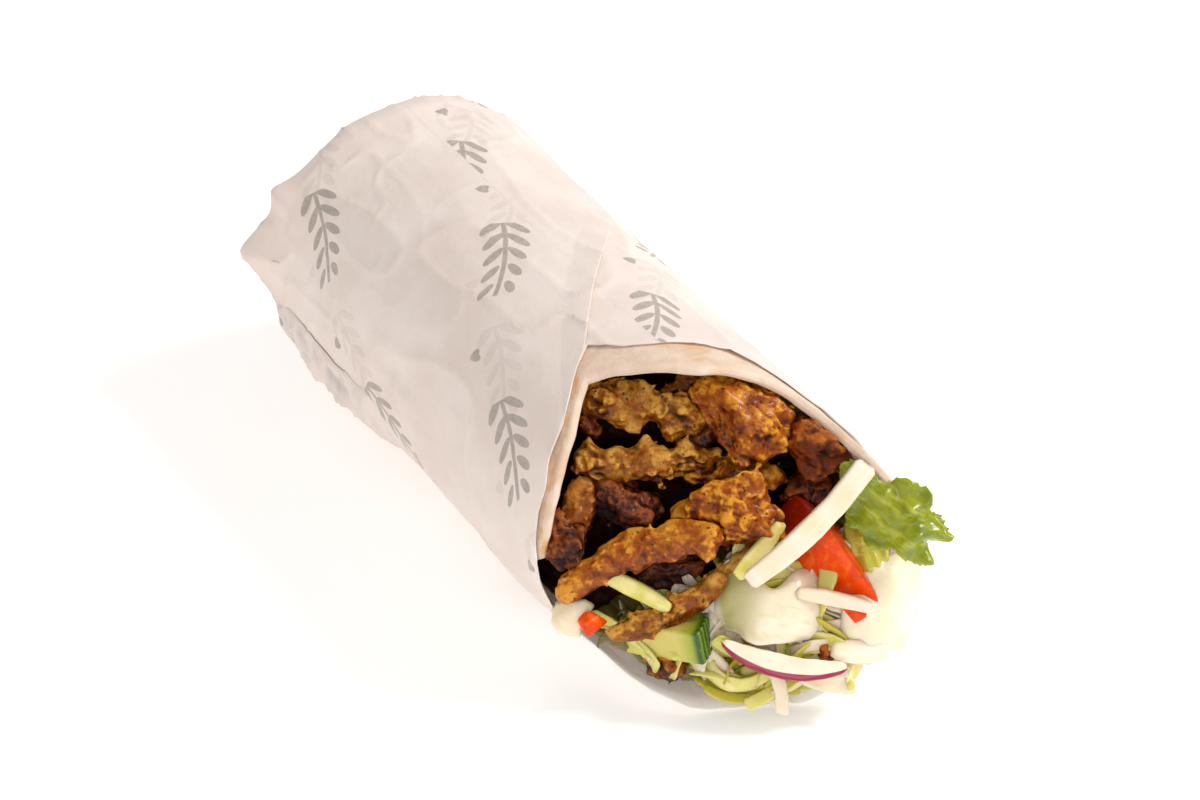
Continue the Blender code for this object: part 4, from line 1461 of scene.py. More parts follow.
@dataclass
class MeatPiece:
    """One torn and seared piece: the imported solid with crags, fibres and torn tags."""

    cut: Cut
    finish: bpy.types.Material
    crag_size: float = 4.6
    chip_size: float = 1.5
    tags: int = 55
    tag_length: float = 2.3
    first_voxel: float = 0.5
    last_voxel: float = 0.33
    stretch: float = 0.45

    def add_tags(self, bm: bmesh.types.BMesh) -> None:
        """Sticks small torn tags to the solid's skin.

        Args:
            bm: the solid, in millimetres.
        """
        draw = np.random.default_rng(self.cut.seed)
        bm.normal_update()
        faces = list(bm.faces)
        areas = np.array([face.calc_area() for face in faces])
        picked = draw.choice(len(faces), size=self.tags, p=areas / areas.sum())
        for number in picked:
            face = faces[number]
            root = face.calc_center_median()
            wander = Vector(draw.normal(0.0, 0.75, 3).tolist())
            way = (face.normal + wander).normalized()
            length = self.tag_length * draw.uniform(0.5, 1.25)
            width = draw.uniform(0.5, 1.1)
            turn = way.to_track_quat("Z", "Y").to_matrix().to_4x4()
            middle = Matrix.Translation(root + way * (0.2 * length))
            bmesh.ops.create_cone(
                bm, cap_ends=True, segments=5, radius1=width, radius2=0.25 * width,
                depth=length, matrix=middle @ turn,
            )

    def along_fibre(self, grain: Grain, points: Array, warp: float) -> Array:
        """Squeezes places along the meat's fibres and pushes them about, so that its tears wander.

        Args:
            grain: the piece's noise.
            points: places on the piece.
            warp: how far they are pushed.

        Returns:
            The squeezed places.
        """
        lie = math.radians(self.cut.lie)
        axis = MOUTH.direction(math.cos(lie), math.sin(lie), 0.0)
        squeezed = points - (1.0 - self.stretch) * (points @ axis)[:, None] * axis
        push = np.stack([grain.at(squeezed / (2.6 * warp) + k) for k in (1.3, 5.1, 9.2)], -1)
        return squeezed + warp * push

    def flakes(self, grain: Grain, points: Array) -> Array:
        """How far the soft lumps and the torn flakes stand out.

        Args:
            grain: the piece's noise.
            points: places on the piece.

        Returns:
            Millimetres for each place.
        """
        place = self.along_fibre(grain, points, 1.5)
        border, height = grain.cells(place / self.crag_size)
        tear = np.clip(1.0 - border / 0.22, 0.0, 1.0)
        torn = smooth_step(-0.1, 0.45, grain.at(points / 6.5 + 3.0))
        lump = grain.layered(points / 5.2, 2)
        spike = np.clip(grain.ridged(points / 2.3 + 5.0), 0.0, 1.0) ** 3
        relief = 0.65 * lump + (0.15 + 0.4 * torn) * height + 0.75 * spike * torn
        return self.cut.crag * (relief - 0.8 * tear * torn)

    def chips(self, grain: Grain, points: Array) -> Array:
        """How far the small crumbs and fibres stand out, in rough patches between smooth ones.

        Args:
            grain: the piece's noise.
            points: places on the piece.

        Returns:
            Millimetres for each place.
        """
        place = self.along_fibre(grain, points, 0.6)
        rough = smooth_step(-0.25, 0.45, grain.at(points / 4.2 + 11.0))
        crumb = grain.layered(points / self.chip_size, 2)
        strand = grain.ridged(place / 0.9 + 7.0)
        return (0.07 + 0.23 * rough) * crumb + 0.1 * rough * strand

    def build(self) -> bpy.types.Object:
        """Makes and dresses the piece.

        Returns:
            The new piece.
        """
        node = self.cut.node
        grain = Grain(self.cut.seed)
        bm = bmesh_of(*remeshed(node, welded(node), self.first_voxel, self.cut.calm))
        self.add_tags(bm)
        points, faces = remeshed(node, bm, self.first_voxel, 1)
        points = points + self.flakes(grain, points)[:, None] * point_normals(points, faces)
        points, faces = remeshed(node, bmesh_of(points, faces), self.last_voxel, 1)
        points = points + self.chips(grain, points)[:, None] * point_normals(points, faces)
        piece = new_piece(f"{node}_seared", points, faces, self.finish, meat_layers(points, faces))
        return dress(piece, self.cut.look.slot, node)


@dataclass(frozen=True)
class Place:
    """Where a loose piece lies in the mouth: across, up and out, and its turns in degrees."""

    across: float
    up: float
    out: float
    spin: float = 0.0
    tip: float = 0.0
    pitch: float = 0.0

    def matrix(self) -> Matrix:
        """Turns the piece's own axes into the mouth's.

        Returns:
            The matrix.
        """
        turns = Euler((math.radians(self.tip), math.radians(-self.pitch), 0.0), "XYZ")
        spin = Matrix.Rotation(math.radians(self.spin), 4, "Z")
        moved = Matrix.Translation((self.across, self.up, self.out))
        return moved @ spin @ turns.to_matrix().to_4x4()


@dataclass(frozen=True)
class Mouth:
    """The slanted mouth's own axes: across, up the slope and out of it."""

    centre: tuple[float, float, float] = (58.0, 0.0, 34.0)

    def matrix(self) -> Matrix:
        """Turns the mouth's axes into the roll's.

        Returns:
            The matrix.
        """
        turn = math.radians(VIEW_TURN)
        across = Vector((math.cos(turn), math.sin(turn), 0.0))
        out = towards_view()
        turned = Matrix((across, out.cross(across), out)).transposed().to_4x4()
        return Matrix.Translation(self.centre) @ turned

    def settle(self, points: Array, place: Place) -> Array:
        """Moves a piece's points from its own axes to where it lies."""
        matrix = np.array(self.matrix() @ place.matrix())
        return points @ matrix[:3, :3].T + matrix[:3, 3]

    def direction(self, across: float, up: float, out: float) -> Array:
        """A direction of the mouth's axes as one of the roll's."""
        return np.array(self.matrix().to_3x3() @ Vector((across, up, out)))

    def out_of(self, points: Array) -> Array:
        """How far points lie out of the mouth's plane."""
        return (points - np.array(self.centre)) @ self.direction(0.0, 0.0, 1.0)


MOUTH = Mouth()


@dataclass(frozen=True)
class Ribbon:
    """A slice or shred: its sizes, and its bends in degrees over its whole length."""

    length: float
    width: float
    thickness: float
    bend: float = 0.0
    curl: float = 0.0
    twist: float = 0.0
    start: float = 0.6
    finish: float = 0.6
    segments: int = 40
    sides: int = 16
    square: float = 0.5

    def mesh(self, seed: float, rough: float = 0.06) -> tuple[Array, Faces, Array, Array]:
        """Makes the slice about its own middle.

        Args:
            seed: picks its unevenness.
            rough: how strong that is.

        Returns:
            Its points, faces, places along and across it, and nearness to its lower edge.
        """
        count = self.segments
        share = np.arange(count + 1) / count
        heading = np.radians(self.bend) * (share - 0.5)
        lift = np.radians(self.curl) * (share - 0.5)
        along = np.stack(
            (np.cos(lift) * np.cos(heading), np.cos(lift) * np.sin(heading), np.sin(lift)), -1
        )
        spine = np.vstack((np.zeros(3), np.cumsum(along[:-1] * self.length / count, 0)))
        spine -= ((spine[0] + spine[-1]) / 2 + spine.mean(0)) / 2
        across = np.cross(np.array((0.0, 0.0, 1.0)), along)
        across /= np.linalg.norm(across, axis=1, keepdims=True)
        face = np.cross(along, across)
        turn = np.radians(self.twist) * (share - 0.5)
        cos, sin = np.cos(turn)[:, None], np.sin(turn)[:, None]
        across, face = cos * across + sin * face, cos * face - sin * across
        edge = self.start + (self.finish - self.start) * share
        swell = edge + (1 - edge) * np.sin(math.pi * share) ** 0.6
        tip = np.clip(np.minimum(share, 1 - share) * self.length / (0.35 * self.thickness), 0, 1)
        rounded = np.sqrt(np.clip(1 - (1 - tip) ** 2, 0, 1))
        angles = 2 * math.pi * (np.arange(self.sides) + 0.5) / self.sides
        wide = signed_power(np.cos(angles), self.square)
        high = signed_power(np.sin(angles), self.square)
        grain = Grain(int(seed * 10) + 5)
        place = np.stack(np.broadcast_arrays(
            seed + 1.5 * np.cos(angles)[None, :],
            1.5 * np.sin(angles)[None, :],
            share[:, None] * self.length / 3.2,
        ), -1).reshape(-1, 3)
        wander = grain.layered(place, 2).reshape(count + 1, self.sides)
        half = self.width / 2 * swell[:, None] * (1 + rough * wander) * (0.75 + 0.25 * rounded[:, None])
        thick = self.thickness / 2 * (0.75 + 0.25 * swell[:, None]) * (1 + rough * wander)
        thick = thick * rounded[:, None]
        offset = (half * wide)[..., None] * across[:, None, :]
        offset = offset + (thick * high)[..., None] * face[:, None, :]
        points = np.vstack(((spine[:, None, :] + offset).reshape(-1, 3), spine[0], spine[-1]))
        faces = tube_faces(count + 1, self.sides)
        leaf = np.stack(np.broadcast_arrays(
            (share * self.length)[:, None], (half * wide), np.zeros_like(half)
        ), -1).reshape(-1, 3)
        leaf = np.vstack((leaf, leaf[0], leaf[-1]))
        low = np.broadcast_to((0.5 - 0.5 * wide)[None, :], half.shape).ravel()
        return points, faces, leaf, np.concatenate((low, (0.5, 0.5)))


@dataclass(frozen=True)
class Sheet:
    """A leaf or an onion layer: its sizes, its bows, its ruffles and its veins."""

    length: float
    height: float
    thickness: float
    bow_along: float = 0.0
    bow_up: float = 0.0
    wave: float = 0.0
    ragged: float = 0.1
    notch: float = 0.0
    crimp: float = 0.0
    fold: float = 4.4
    teeth: float = 0.0
    columns: int = 72
    rows: int = 56

    def mesh(self, seed: float) -> tuple[Array, Faces, Array, Array]:
        """Makes the leaf about its own middle.

        Args:
            seed: picks its outline, ruffles and creases.

        Returns:
            Its points, faces, places along and across it, and nearness to its edge.
        """
        u = np.linspace(-1, 1, self.columns + 1)[:, None]
        v = np.linspace(-1, 1, self.rows + 1)[None, :]
        x = (u * np.sqrt(1 - 0.38 * v * v)).ravel()
        y = (v * np.sqrt(1 - 0.38 * u * u)).ravel()
        flat_u = np.broadcast_to(u, (self.columns + 1, self.rows + 1)).ravel()
        flat_v = np.broadcast_to(v, (self.columns + 1, self.rows + 1)).ravel()
        rough = cad_noise(np.stack((seed + 2.3 * x, 2.3 * y, 0.4 + 0 * x), -1))
        border = np.maximum(np.abs(flat_u), np.abs(flat_v))
        grain = Grain(int(seed * 10))
        torn = grain.layered(np.stack((4.5 * x, 4.5 * y, 0 * x), -1), 2)
        bitten = grain.ridged(np.stack((11.0 * x, 11.0 * y, 0 * x + 6.0), -1))
        reach = 1 + (1.5 * self.ragged * rough + 0.12 * self.ragged * torn) * border
        reach = reach + self.teeth * bitten * border**6
        x, y = x * reach, y * reach
        y = y - self.notch * 2 * np.clip(flat_v, 0, 1) * bell(flat_u, 0.45)
        ruffle = cad_noise(np.stack((2.6 * x, 2.2 * y, seed + 0 * x), -1))
        flat = np.stack((self.length / 4.4 * x, self.height / 2 * y, 0 * x + 2.0), -1)
        crease = grain.ridged(flat / self.fold) + 0.22 * grain.ridged(flat / (0.45 * self.fold) + 3.0)
        z = -self.bow_along * flat_u**2 - self.bow_up * flat_v**2 + self.wave * ruffle
        z = z + self.crimp * crease * (0.45 + 0.55 * border)
        thin = self.thickness / 2 * np.sqrt(np.clip(1.02 - border**8, 0.02, 1))
        base = np.stack((self.length / 2 * x, self.height / 2 * y, z), -1)
        rise = np.stack((0 * thin, 0 * thin, thin), -1)
        faces = slab_faces(self.columns + 1, self.rows + 1)
        points = np.vstack((base + rise, base - rise))
        leaf = np.stack((self.length / 2 * x, self.height / 2 * y, 0.5 + 0.5 * rough), -1)
        return points, faces, np.vstack((leaf, leaf)), np.concatenate((border, border))


@dataclass
class SaladPiece:
    """One slice, shred or leaf of the salad, laid in the mouth."""

    node: str
    slot: str
    form: Ribbon | Sheet
    place: Place
    seed: float
    finish: bpy.types.Material

    def build(self) -> bpy.types.Object:
        """Makes and dresses the piece.

        Returns:
            The new piece.
        """
        points, faces, leaf, edge = self.form.mesh(self.seed)
        points = held_in(MOUTH.settle(points, self.place))
        layers = {"leaf": leaf, "edge": edge}
        piece = new_piece(f"{self.node}_cut", points, faces, self.finish, layers)
        return dress(piece, self.slot, self.node)


@dataclass
class TomatoWedge:
    """A tomato wedge: two cut faces that meet in an edge, and a round skin."""

    finish: bpy.types.Material
    place: Place
    length: float = 31.0
    depth: float = 18.0
    thickness: float = 14.0
    dent: float = 0.35
    sections: int = 60
    arc: int = 24
    cut: int = 14
    seed: int = 77

    def build(self) -> bpy.types.Object:
        """Makes and dresses the wedge.

        Returns:
            The new piece.
        """
        share = np.linspace(-0.995, 0.995, self.sections)
        swell = np.sqrt(1 - share**2) * (1 - 0.3 * share)
        turn = math.pi * (np.linspace(0, 1, self.arc + 1) - 0.5)
        skin_y = 0.3 + 0.35 * np.cos(turn)
        skin_z = 0.5 * np.sin(turn)
        run = np.linspace(0, 1, self.cut + 1)[1:-1]
        low_y, low_z = -0.35 + 0.65 * run, -0.5 * run**0.9
        y = np.concatenate(((-0.35,), low_y, skin_y, low_y[::-1]))
        z = np.concatenate(((0.0,), low_z, skin_z, -low_z[::-1]))
        skin = np.zeros(len(y))
        skin[self.cut : self.cut + self.arc + 1] = 1.0
        points = np.stack(np.broadcast_arrays(
            (share * self.length / 2)[:, None],
            self.depth * swell[:, None] * y[None, :],
            self.thickness * swell[:, None] * z[None, :],
        ), -1).reshape(-1, 3)
        around = len(y)
        dent = self.dent * Grain(self.seed).layered(points / 6.0, 2)
        points[:, 2] += dent * np.tile(1 - skin, self.sections)
        points = np.vstack((points, points[:around].mean(0), points[-around:].mean(0)))
        faces = tube_faces(self.sections, around)
        # Painted shade: the cut flesh darkens towards one end of the wedge, carried in the skin layer.
        painted_shade_end = 0.85 * smooth_step(0.05, -0.75, np.repeat(share, around))
        layer = np.concatenate((np.maximum(np.tile(skin, self.sections), painted_shade_end), (1.0, 1.0)))
        points = MOUTH.settle(points, self.place)
        piece = new_piece("tomato_wedge_cut", points, faces, self.finish, {"skin": layer})
        return dress(piece, "tomato", "tomato_wedge")


@dataclass
class CucumberPiece:
    """Part of a cucumber slice, with its ribbed skin to one side."""

    finish: bpy.types.Material
    place: Place
    radius: float = 20.0
    opening: float = 45.0
    thickness: float = 8.0
    middle: float = 0.62  # of the radius, from the cucumber's own middle
    rib_height: float = 0.012
    dent: float = 0.25
    ribs: int = 9
    steps: int = 54
    rings: int = 22
    layers: int = 10
    seed: int = 31

    def build(self) -> bpy.types.Object:
        """Makes and dresses the piece.

        Returns:
            The new piece.
        """
        half = math.radians(self.opening) / 2
        level = np.linspace(-0.5, 0.5, self.layers + 1) * self.thickness
        turns = np.linspace(-half, half, self.steps + 1)
        z, reach, turn = np.meshgrid(level, np.linspace(0.02, 1.0, self.rings + 1), turns, indexing="ij")
        rib = 0.5 + 0.5 * np.cos(turn / half * math.pi * self.ribs)
        ribbed = reach * (1 + self.rib_height * rib * (reach > 0.98))
        x = self.radius * (ribbed * np.cos(turn) - self.middle)
        y = self.radius * ribbed * np.sin(turn)
        points = np.stack((x, y, z), -1).reshape(-1, 3)
        on_cut = np.abs(z.ravel()) > self.thickness * 0.49
        dents = self.dent * Grain(self.seed).layered(points / 4.0, 2)
        points[:, 2] += np.where(on_cut, dents, 0.0)
        index = np.arange(len(points)).reshape(z.shape)
        walls = (index[0], index[-1], index[:, 0], index[:, -1], index[:, :, 0], index[:, :, -1])
        quads = [
            np.stack((wall[:-1, :-1], wall[1:, :-1], wall[1:, 1:], wall[:-1, 1:]), -1).reshape(-1, 4)
            for wall in walls
        ]
        # Only the points on the walls are kept
        kept, faces = np.unique(np.vstack(quads), return_inverse=True)
        settled = MOUTH.settle(points[kept], self.place)
        layers = {"reach": reach.ravel()[kept], "ribs": rib.ravel()[kept]}
        corners = faces.reshape(-1, 4).tolist()
        piece = new_piece("cucumber_piece_cut", settled, corners, self.finish, layers)
        return dress(piece, "cucumber", "cucumber_piece")


@dataclass
class PackedCore:
    """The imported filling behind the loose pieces, as the solid has it, with a rough skin."""

    node: str
    slot: str
    finish: bpy.types.Material
    seed: int
    voxel: float = 1.3
    rough: float = 0.6

    def build(self) -> bpy.types.Object:
        """Makes and dresses the core.

        Returns:
            The new piece.
        """
        grain = Grain(self.seed)
        points, faces = remeshed(self.node, welded(self.node), self.voxel, 2)
        height = grain.ridged(points / 4.2) + 0.5 * grain.ridged(points / 2.6)
        rise = self.rough * (height - 0.9)
        points = points + rise[:, None] * point_normals(points, faces)
        layers = {"leaf": points, "edge": np.zeros(len(points)), **meat_layers(points, faces)}
        piece = new_piece(f"{self.node}_packed", points, faces, self.finish, layers)
        return dress(piece, self.slot, self.node)


@dataclass
class ShredHeap:
    """Shredded cabbage and lettuce, heaped over the salad's core at true size."""

    finishes: dict[str, bpy.types.Material]
    shares: tuple[float, ...] = (0.4, 0.35, 0.25)
    count: int = 190
    tries: int = 16  # for each shred
    seed: int = 5
    across: tuple[float, float] = (-27.0, 38.0)
    up: tuple[float, float] = (-31.0, 2.0)
    wall_gap: float = 5.2
    floor_gap: float = 3.6
    crumb: tuple[float, float] = (-10.5, -25.5)
    crumb_room: float = 6.5

    def inside(self, points: Array) -> bool:
        """Whether a shred stays within the flatbread, or just past its rim.

        Args:
            points: the shred's points.

        Returns:
            True where all of them do.
        """
        y, z = points[:, 1], points[:, 2] - ROLL.axis_height
        reach = np.hypot(y, z)
        room = ROLL.radius - self.wall_gap
        beyond = points[:, 0] > BREAD_RIM.reach(np.degrees(np.arctan2(z, y))) - 1.0
        held = (reach < room) | (beyond & (reach < room + 0.6))
        return bool(np.all(held) and points[:, 2].min() > self.floor_gap)

    def on_heap(self, across: float, up: float) -> bool:
        """Whether a place in the mouth is under the heap's slanted top and clear of the crumb."""
        from_crumb = math.hypot((across - self.crumb[0]) / 1.5, up - self.crumb[1])
        return from_crumb >= self.crumb_room and up <= -6.0 + 0.45 * (across - 8.0)

    def shred(self, draw: np.random.Generator, across: float, up: float) -> tuple[Array, Faces, Array]:
        """One shred of the heap.

        Args:
            draw: gives its sizes and its turns.
            across: where it lies across the mouth.
            up: where it lies up the mouth.

        Returns:
            Its points, its faces, and the places along and across it.
        """
        form = Ribbon(
            draw.uniform(13, 30), draw.uniform(2.0, 5.0), draw.uniform(0.5, 0.9),
            bend=draw.normal(0, 60), curl=draw.normal(0, 70), twist=draw.normal(0, 60),
            start=draw.uniform(0.7, 1.0), finish=draw.uniform(0.7, 1.0),
            segments=30, sides=10, square=0.6,
        )
        place = Place(
            across, up, draw.uniform(-8.0, 0.0), draw.normal(-8, 38), draw.normal(0, 30),
            draw.normal(0, 12),
        )
        points, faces, leaf, _ = form.mesh(draw.uniform(0, 50), 0.16)
        return MOUTH.settle(points, place), faces, leaf

    def join(self, kind: str, shreds: list[tuple[Array, Faces, Array]]) -> None:
        """Makes and dresses one piece of all the shreds of a kind.

        Args:
            kind: the kind's name.
            shreds: the points, the faces and the places of each shred.
        """
        joined: Faces = []
        start = 0
        for points, faces, _ in shreds:
            joined += [[corner + start for corner in face] for face in faces]
            start += len(points)
        layers = {"leaf": np.vstack([leaf for _, _, leaf in shreds]), "edge": np.zeros(start)}
        every = np.vstack([points for points, _, _ in shreds])
        piece = new_piece(f"salad_shreds_{kind}", every, joined, self.finishes[kind], layers)
        dress(piece, "cabbage", "salad_heap")

    def build(self) -> None:
        """Makes and dresses the shreds, one joined piece for each kind."""
        draw = np.random.default_rng(self.seed)
        kinds = list(self.finishes)
        parts: dict[str, list[tuple[Array, Faces, Array]]] = {kind: [] for kind in kinds}
        placed = 0
        for _ in range(self.count * self.tries):
            across, up = draw.uniform(*self.across), draw.uniform(*self.up)
            if not self.on_heap(across, up):
                continue
            points, faces, leaf = self.shred(draw, across, up)
            if not self.inside(points):
                continue
            leaf[:, 2] = draw.uniform(0, 0.7)
            kind = kinds[int(draw.choice(len(kinds), p=self.shares))]
            parts[kind].append((points, faces, leaf))
            placed += 1
            if placed == self.count:
                break
        for kind, shreds in parts.items():
            self.join(kind, shreds)


@dataclass
class Studio:
    """A white floor, soft light from above and behind, and the camera."""

    target: tuple[float, float, float] = (2.0, 2.9, 40.0)
    distance: float = 778.0
    lens: float = 100.0
    floor: Colour = (0.96, 0.955, 0.95)
    floor_glow: float = 0.3
    floor_half: float = 4.0  # metres
    sky: Colour = (1.0, 0.985, 0.965)
    sky_strength: float = 0.62

    def light(self, name: str, place: tuple[float, float, float], size: float, power: float) -> None:
        """A square soft light that looks at the roll.

        Args:
            name: the light's name.
            place: where it hangs, in metres.
            size: its side, in metres.
            power: its watts.
        """
        lamp = bpy.data.lights.new(name, "AREA")
        lamp.shape = "SQUARE"
        lamp.size = size
        lamp.energy = power
        holder = bpy.data.objects.new(name, lamp)
        holder.location = place
        back = Vector(place) - Vector(self.target) * MM
        holder.rotation_euler = back.to_track_quat("Z", "Y").to_euler()
        bpy.context.scene.collection.objects.link(holder)

    def lay_floor(self) -> None:
        """Makes the white floor."""
        shader = Shader("studio_floor")
        cloud = shader.grain(400.0, detail=1.0)
        shader.set(Base_Color=shader.mix(cloud, self.floor, (0.97, 0.965, 0.96)), Roughness=0.9)
        shader.set(Emission_Color=(1.0, 0.985, 0.97), Emission_Strength=self.floor_glow)
        bm = bmesh.new()
        bmesh.ops.create_grid(bm, x_segments=2, y_segments=2, size=self.floor_half)
        mesh = bpy.data.meshes.new("studio_floor")
        bm.to_mesh(mesh)
        bm.free()
        mesh.materials.append(shader.material)
        floor = bpy.data.objects.new("studio_floor", mesh)
        bpy.context.scene.collection.objects.link(floor)

    def place_camera(self) -> None:
        """Makes the camera, which looks into the mouth."""
        camera = bpy.data.objects.new("camera", bpy.data.cameras.new("camera"))
        away = towards_view()
        camera.location = (Vector(self.target) + self.distance * away) * MM
        camera.rotation_euler = away.to_track_quat("Z", "Y").to_euler()
        camera.data.lens = self.lens
        camera.data.sensor_width = 36.0
        camera.data.clip_start = 0.01
        bpy.context.scene.collection.objects.link(camera)
        bpy.context.scene.camera = camera

    def build(self) -> None:
        """Makes the floor, the sky, the lights and the camera."""
        self.lay_floor()
        world = bpy.data.worlds.new("studio_sky")
        world.use_nodes = True
        background = world.node_tree.nodes["Background"]
        background.inputs["Color"].default_value = (*self.sky, 1.0)
        background.inputs["Strength"].default_value = self.sky_strength
        bpy.context.scene.world = world
        self.light("key", (0.35, 0.75, 0.9), 0.3, 9.5)
        self.light("fill", (0.9, -0.5, 0.5), 0.6, 3.2)
        self.place_camera()
        bpy.context.scene.view_settings.view_transform = "Standard"


WHITE = CrispLeaf(
    "white_cabbage", srgb(240, 222, 200), srgb(230, 212, 174), srgb(250, 238, 222), srgb(234, 220, 188),
    edge_from=0.9, streak=0.3,
)
# Its heart gradient is partly the cabbage's own green and partly painted shade.
RIB = CrispLeaf(
    "cabbage_heart", srgb(242, 226, 204), srgb(176, 172, 84), srgb(206, 198, 138), srgb(244, 230, 208),
    edge_from=0.9, streak=0.45, gloss=0.22, clear=0.4, patchy=0.12, heart=0.85,
)
PALE_GREEN = CrispLeaf(
    "pale_cabbage", srgb(232, 218, 140), srgb(206, 200, 80), srgb(246, 234, 186), srgb(210, 202, 92),
    edge_from=0.85,
)
SHADED = CrispLeaf(
    "shaded_cabbage", srgb(150, 132, 66), srgb(104, 92, 36), srgb(184, 164, 98), srgb(140, 124, 60),
    edge_from=0.85, clear=0.15,
)
YELLOW_GREEN = CrispLeaf(
    "heart_lettuce", srgb(206, 188, 70), srgb(160, 160, 28), srgb(236, 220, 136), srgb(146, 148, 24),
    edge_from=0.85,
)
LETTUCE = CrispLeaf(
    "green_lettuce", srgb(156, 160, 3), srgb(98, 116, 1), srgb(204, 200, 64), srgb(124, 138, 3),
    edge_from=0.92, streak=0.45, gloss=0.24, clear=0.2,
)
RED_ONION = CrispLeaf(
    "red_onion", srgb(248, 230, 208), srgb(240, 214, 188), srgb(254, 244, 230), srgb(150, 0, 62),
    edge_from=0.72, edge_soft=0.05, streak=0.25, gloss=0.22,
)
PALE_ONION = CrispLeaf(
    "pale_onion", srgb(248, 232, 210), srgb(240, 226, 190), srgb(254, 244, 230), srgb(222, 180, 190),
    edge_from=0.95, edge_soft=0.05, streak=0.3, gloss=0.22, clear=0.45,
)


CUTS: tuple[Cut, ...] = (
    Cut("meat_chunk_golden", MeatLook.GOLDEN, 11, 0.95, -60),
    Cut("meat_chunk_centre", MeatLook.GOLDEN, 23, 0.7, -18),
    Cut("meat_chunk_glazed", MeatLook.BROWN, 5, 0.35, -30, 8),
    Cut("meat_chunk_charred", MeatLook.CHARRED, 31, 1.1, -22),
    Cut("meat_knob_left", MeatLook.DARK, 43, 1.0, 50),
    Cut("meat_wedge_left", MeatLook.TOASTED, 53, 0.35, 78, 8),
    Cut("meat_chunk_dark", MeatLook.CHARRED, 67, 0.9, 10),
    # meat_chunk_deep lies in shade deep in the mouth, so its charred colour is partly real char and partly
    # painted shade.
    Cut("meat_chunk_deep", MeatLook.CHARRED, 71, 0.9, 6),
    Cut("meat_scrap_top", MeatLook.TOASTED, 83, 1.1, -40),
    Cut("meat_lump_inner", MeatLook.DARK, 97, 0.9, 0),
    Cut("meat_crumb_front", MeatLook.GOLDEN, 101, 0.9, 20),
    Cut("meat_scrap_right", MeatLook.BROWN, 103, 0.6, 30),
    Cut("meat_slab_top", MeatLook.PALE, 3, 1.3, -12, 14),
    Cut("meat_slab_mid", MeatLook.PALE, 7, 1.3, 5, 14),
    Cut("meat_slice_long", MeatLook.CARAMEL, 13, 0.3, 19, 24),
    Cut("meat_slice_low", MeatLook.PALE, 17, 0.35, 27, 16),
    Cut("meat_sliver_left", MeatLook.BROWN, 19, 0.7, -62),
    Cut("meat_slab_behind", MeatLook.GOLDEN, 29, 0.9, -4),
    Cut("meat_strip_right", MeatLook.PALE, 37, 0.5, 40),
)


def build_meat() -> None:
    """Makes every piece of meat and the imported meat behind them."""
    finishes = {look: SearedMeat(look).material() for look in MeatLook}
    for cut in CUTS:
        MeatPiece(cut, finishes[cut.look]).build()
    # The packed meat behind the pieces is finished in near-black painted shade.
    PackedCore("kebab_meat", MeatLook.HIDDEN.slot, finishes[MeatLook.HIDDEN], seed=41).build()


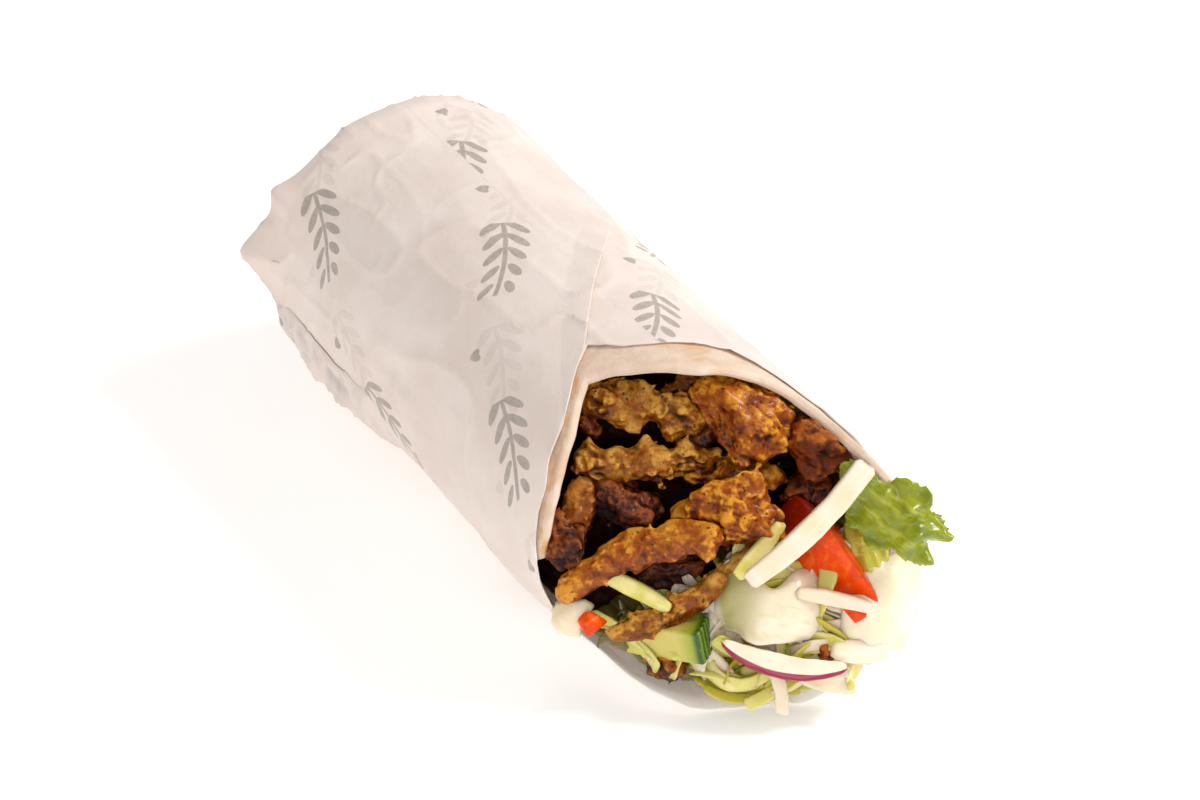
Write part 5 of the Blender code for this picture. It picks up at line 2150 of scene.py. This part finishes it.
def build_salad() -> None:
    """Makes the loose salad, the tomato, the cucumber and the shreds over the salad's core."""
    white, rib = WHITE.material(), RIB.material()
    pale, heart = PALE_GREEN.material(), YELLOW_GREEN.material()
    leaf, onion, soft_onion = LETTUCE.material(), RED_ONION.material(), PALE_ONION.material()
    tomato = WetTomato().material()
    pieces = (
        SaladPiece("cabbage_strip_long", "cabbage",
                   Ribbon(37, 5.3, 2.4, 18, -10, start=0.7, finish=0.95, square=0.35),
                   Place(19.4, 7.0, 12.5, 45, 12, 4), 1, white),
        SaladPiece("lettuce_curl", "cabbage", Ribbon(16, 4.2, 1.8, 30, 30, 50),
                   Place(8.8, 1.2, 7.0, 50, 30), 2, pale),
        SaladPiece("red_onion_slice", "onion",
                   Ribbon(29, 5.4, 3.0, 46, 8, start=0.14, finish=0.3, square=0.4),
                   Place(14.2, -22.8, 4.5, -11, -8), 3, onion),
        SaladPiece("cabbage_strip_low", "cabbage", Ribbon(20, 4.0, 2.4, -10),
                   Place(-19.6, -7.4, 4, -27, 10), 4, pale),
        SaladPiece("cabbage_strip_tomato", "cabbage", Ribbon(17, 3.4, 2.0, -8),
                   Place(25.4, -9.9, 5, -12, 20), 6, white),
        SaladPiece("cabbage_strip_front", "cabbage", Ribbon(13, 3.4, 2.2, -10),
                   Place(0.4, -25.2, -1.5, -50, 10), 8, white),
        SaladPiece("onion_end_right", "onion", Ribbon(13, 5.4, 3.4, 18),
                   Place(31.4, -21.4, 0, -2), 9, soft_onion),
        SaladPiece("lettuce_leaf", "lettuce",
                   Sheet(25, 17, 0.7, 2.5, 1.5, 3.4, 0.28, crimp=1.5, teeth=0.05, fold=9.5,
                         columns=100, rows=76),
                   Place(37.8, 8.4, 12, -33, 10, 2), 4.2, leaf),
        SaladPiece("lettuce_lining", "lettuce",
                   Sheet(36, 12, 0.7, 1.5, 1.2, 1.6, 0.2, crimp=0.6),
                   Place(23.6, 25.6, -3, -48, 52), 8.8, leaf),
        SaladPiece("cabbage_rib", "cabbage",
                   Sheet(25, 20.5, 2.6, 5.0, 1.8, 0.0, 0.12, notch=0.42, crimp=0.12, fold=12.0),
                   Place(11.6, -9.2, 5, -6, -12), 1.7, rib),
        SaladPiece("onion_layer_right", "onion",
                   Sheet(18, 24, 1.8, 3.6, 3.4, 0.0, 0.16, crimp=0.3, fold=9.0),
                   Place(37.2, -11.2, 3.0, -12, 0, -14), 6.1, soft_onion),
        SaladPiece("cabbage_leaf", "cabbage",
                   Sheet(10, 20, 0.9, 1.8, 1.2, 1.4, 0.15, crimp=0.7),
                   Place(34.0, -1.4, 2, 14, 0, -10), 5.5, heart),
        SaladPiece("cabbage_piece_left", "cabbage",
                   Sheet(9, 9, 2.0, 1.8, 1.2, 0.0, 0.2, crimp=0.2),
                   Place(-33.0, -13.6, 1.5, -30, 10), 9.3, white),
    )
    for piece in pieces:
        piece.build()
    TomatoWedge(tomato, Place(25.6, 0.8, 1.2, -51, -110, 8)).build()
    CucumberPiece(CutCucumber().material(), Place(-9.2, -17.8, -2.0, 6, -62, 12)).build()
    for node in ("tomato_bit_right", "tomato_bit_left"):
        points, faces = remeshed(node, welded(node), 0.3, 3)
        layers = {"skin": np.zeros(len(points))}
        dress(new_piece(f"{node}_cut", points, faces, tomato, layers), "tomato", node)
    PackedCore("salad_heap", "cabbage", SHADED.material(), seed=43, voxel=1.0, rough=0.4).build()
    ShredHeap({"white": white, "pale": pale, "heart": heart}).build()


def main() -> None:
    """Builds the whole sandwich and its studio in order."""
    logging.basicConfig(level=logging.INFO, format="%(message)s")
    Studio().build()
    PaperWrapper(PrintedPaper().material()).build()
    Flatbread(ToastedBread().material()).build()
    build_meat()
    build_salad()


if __name__ == "__main__":
    main()
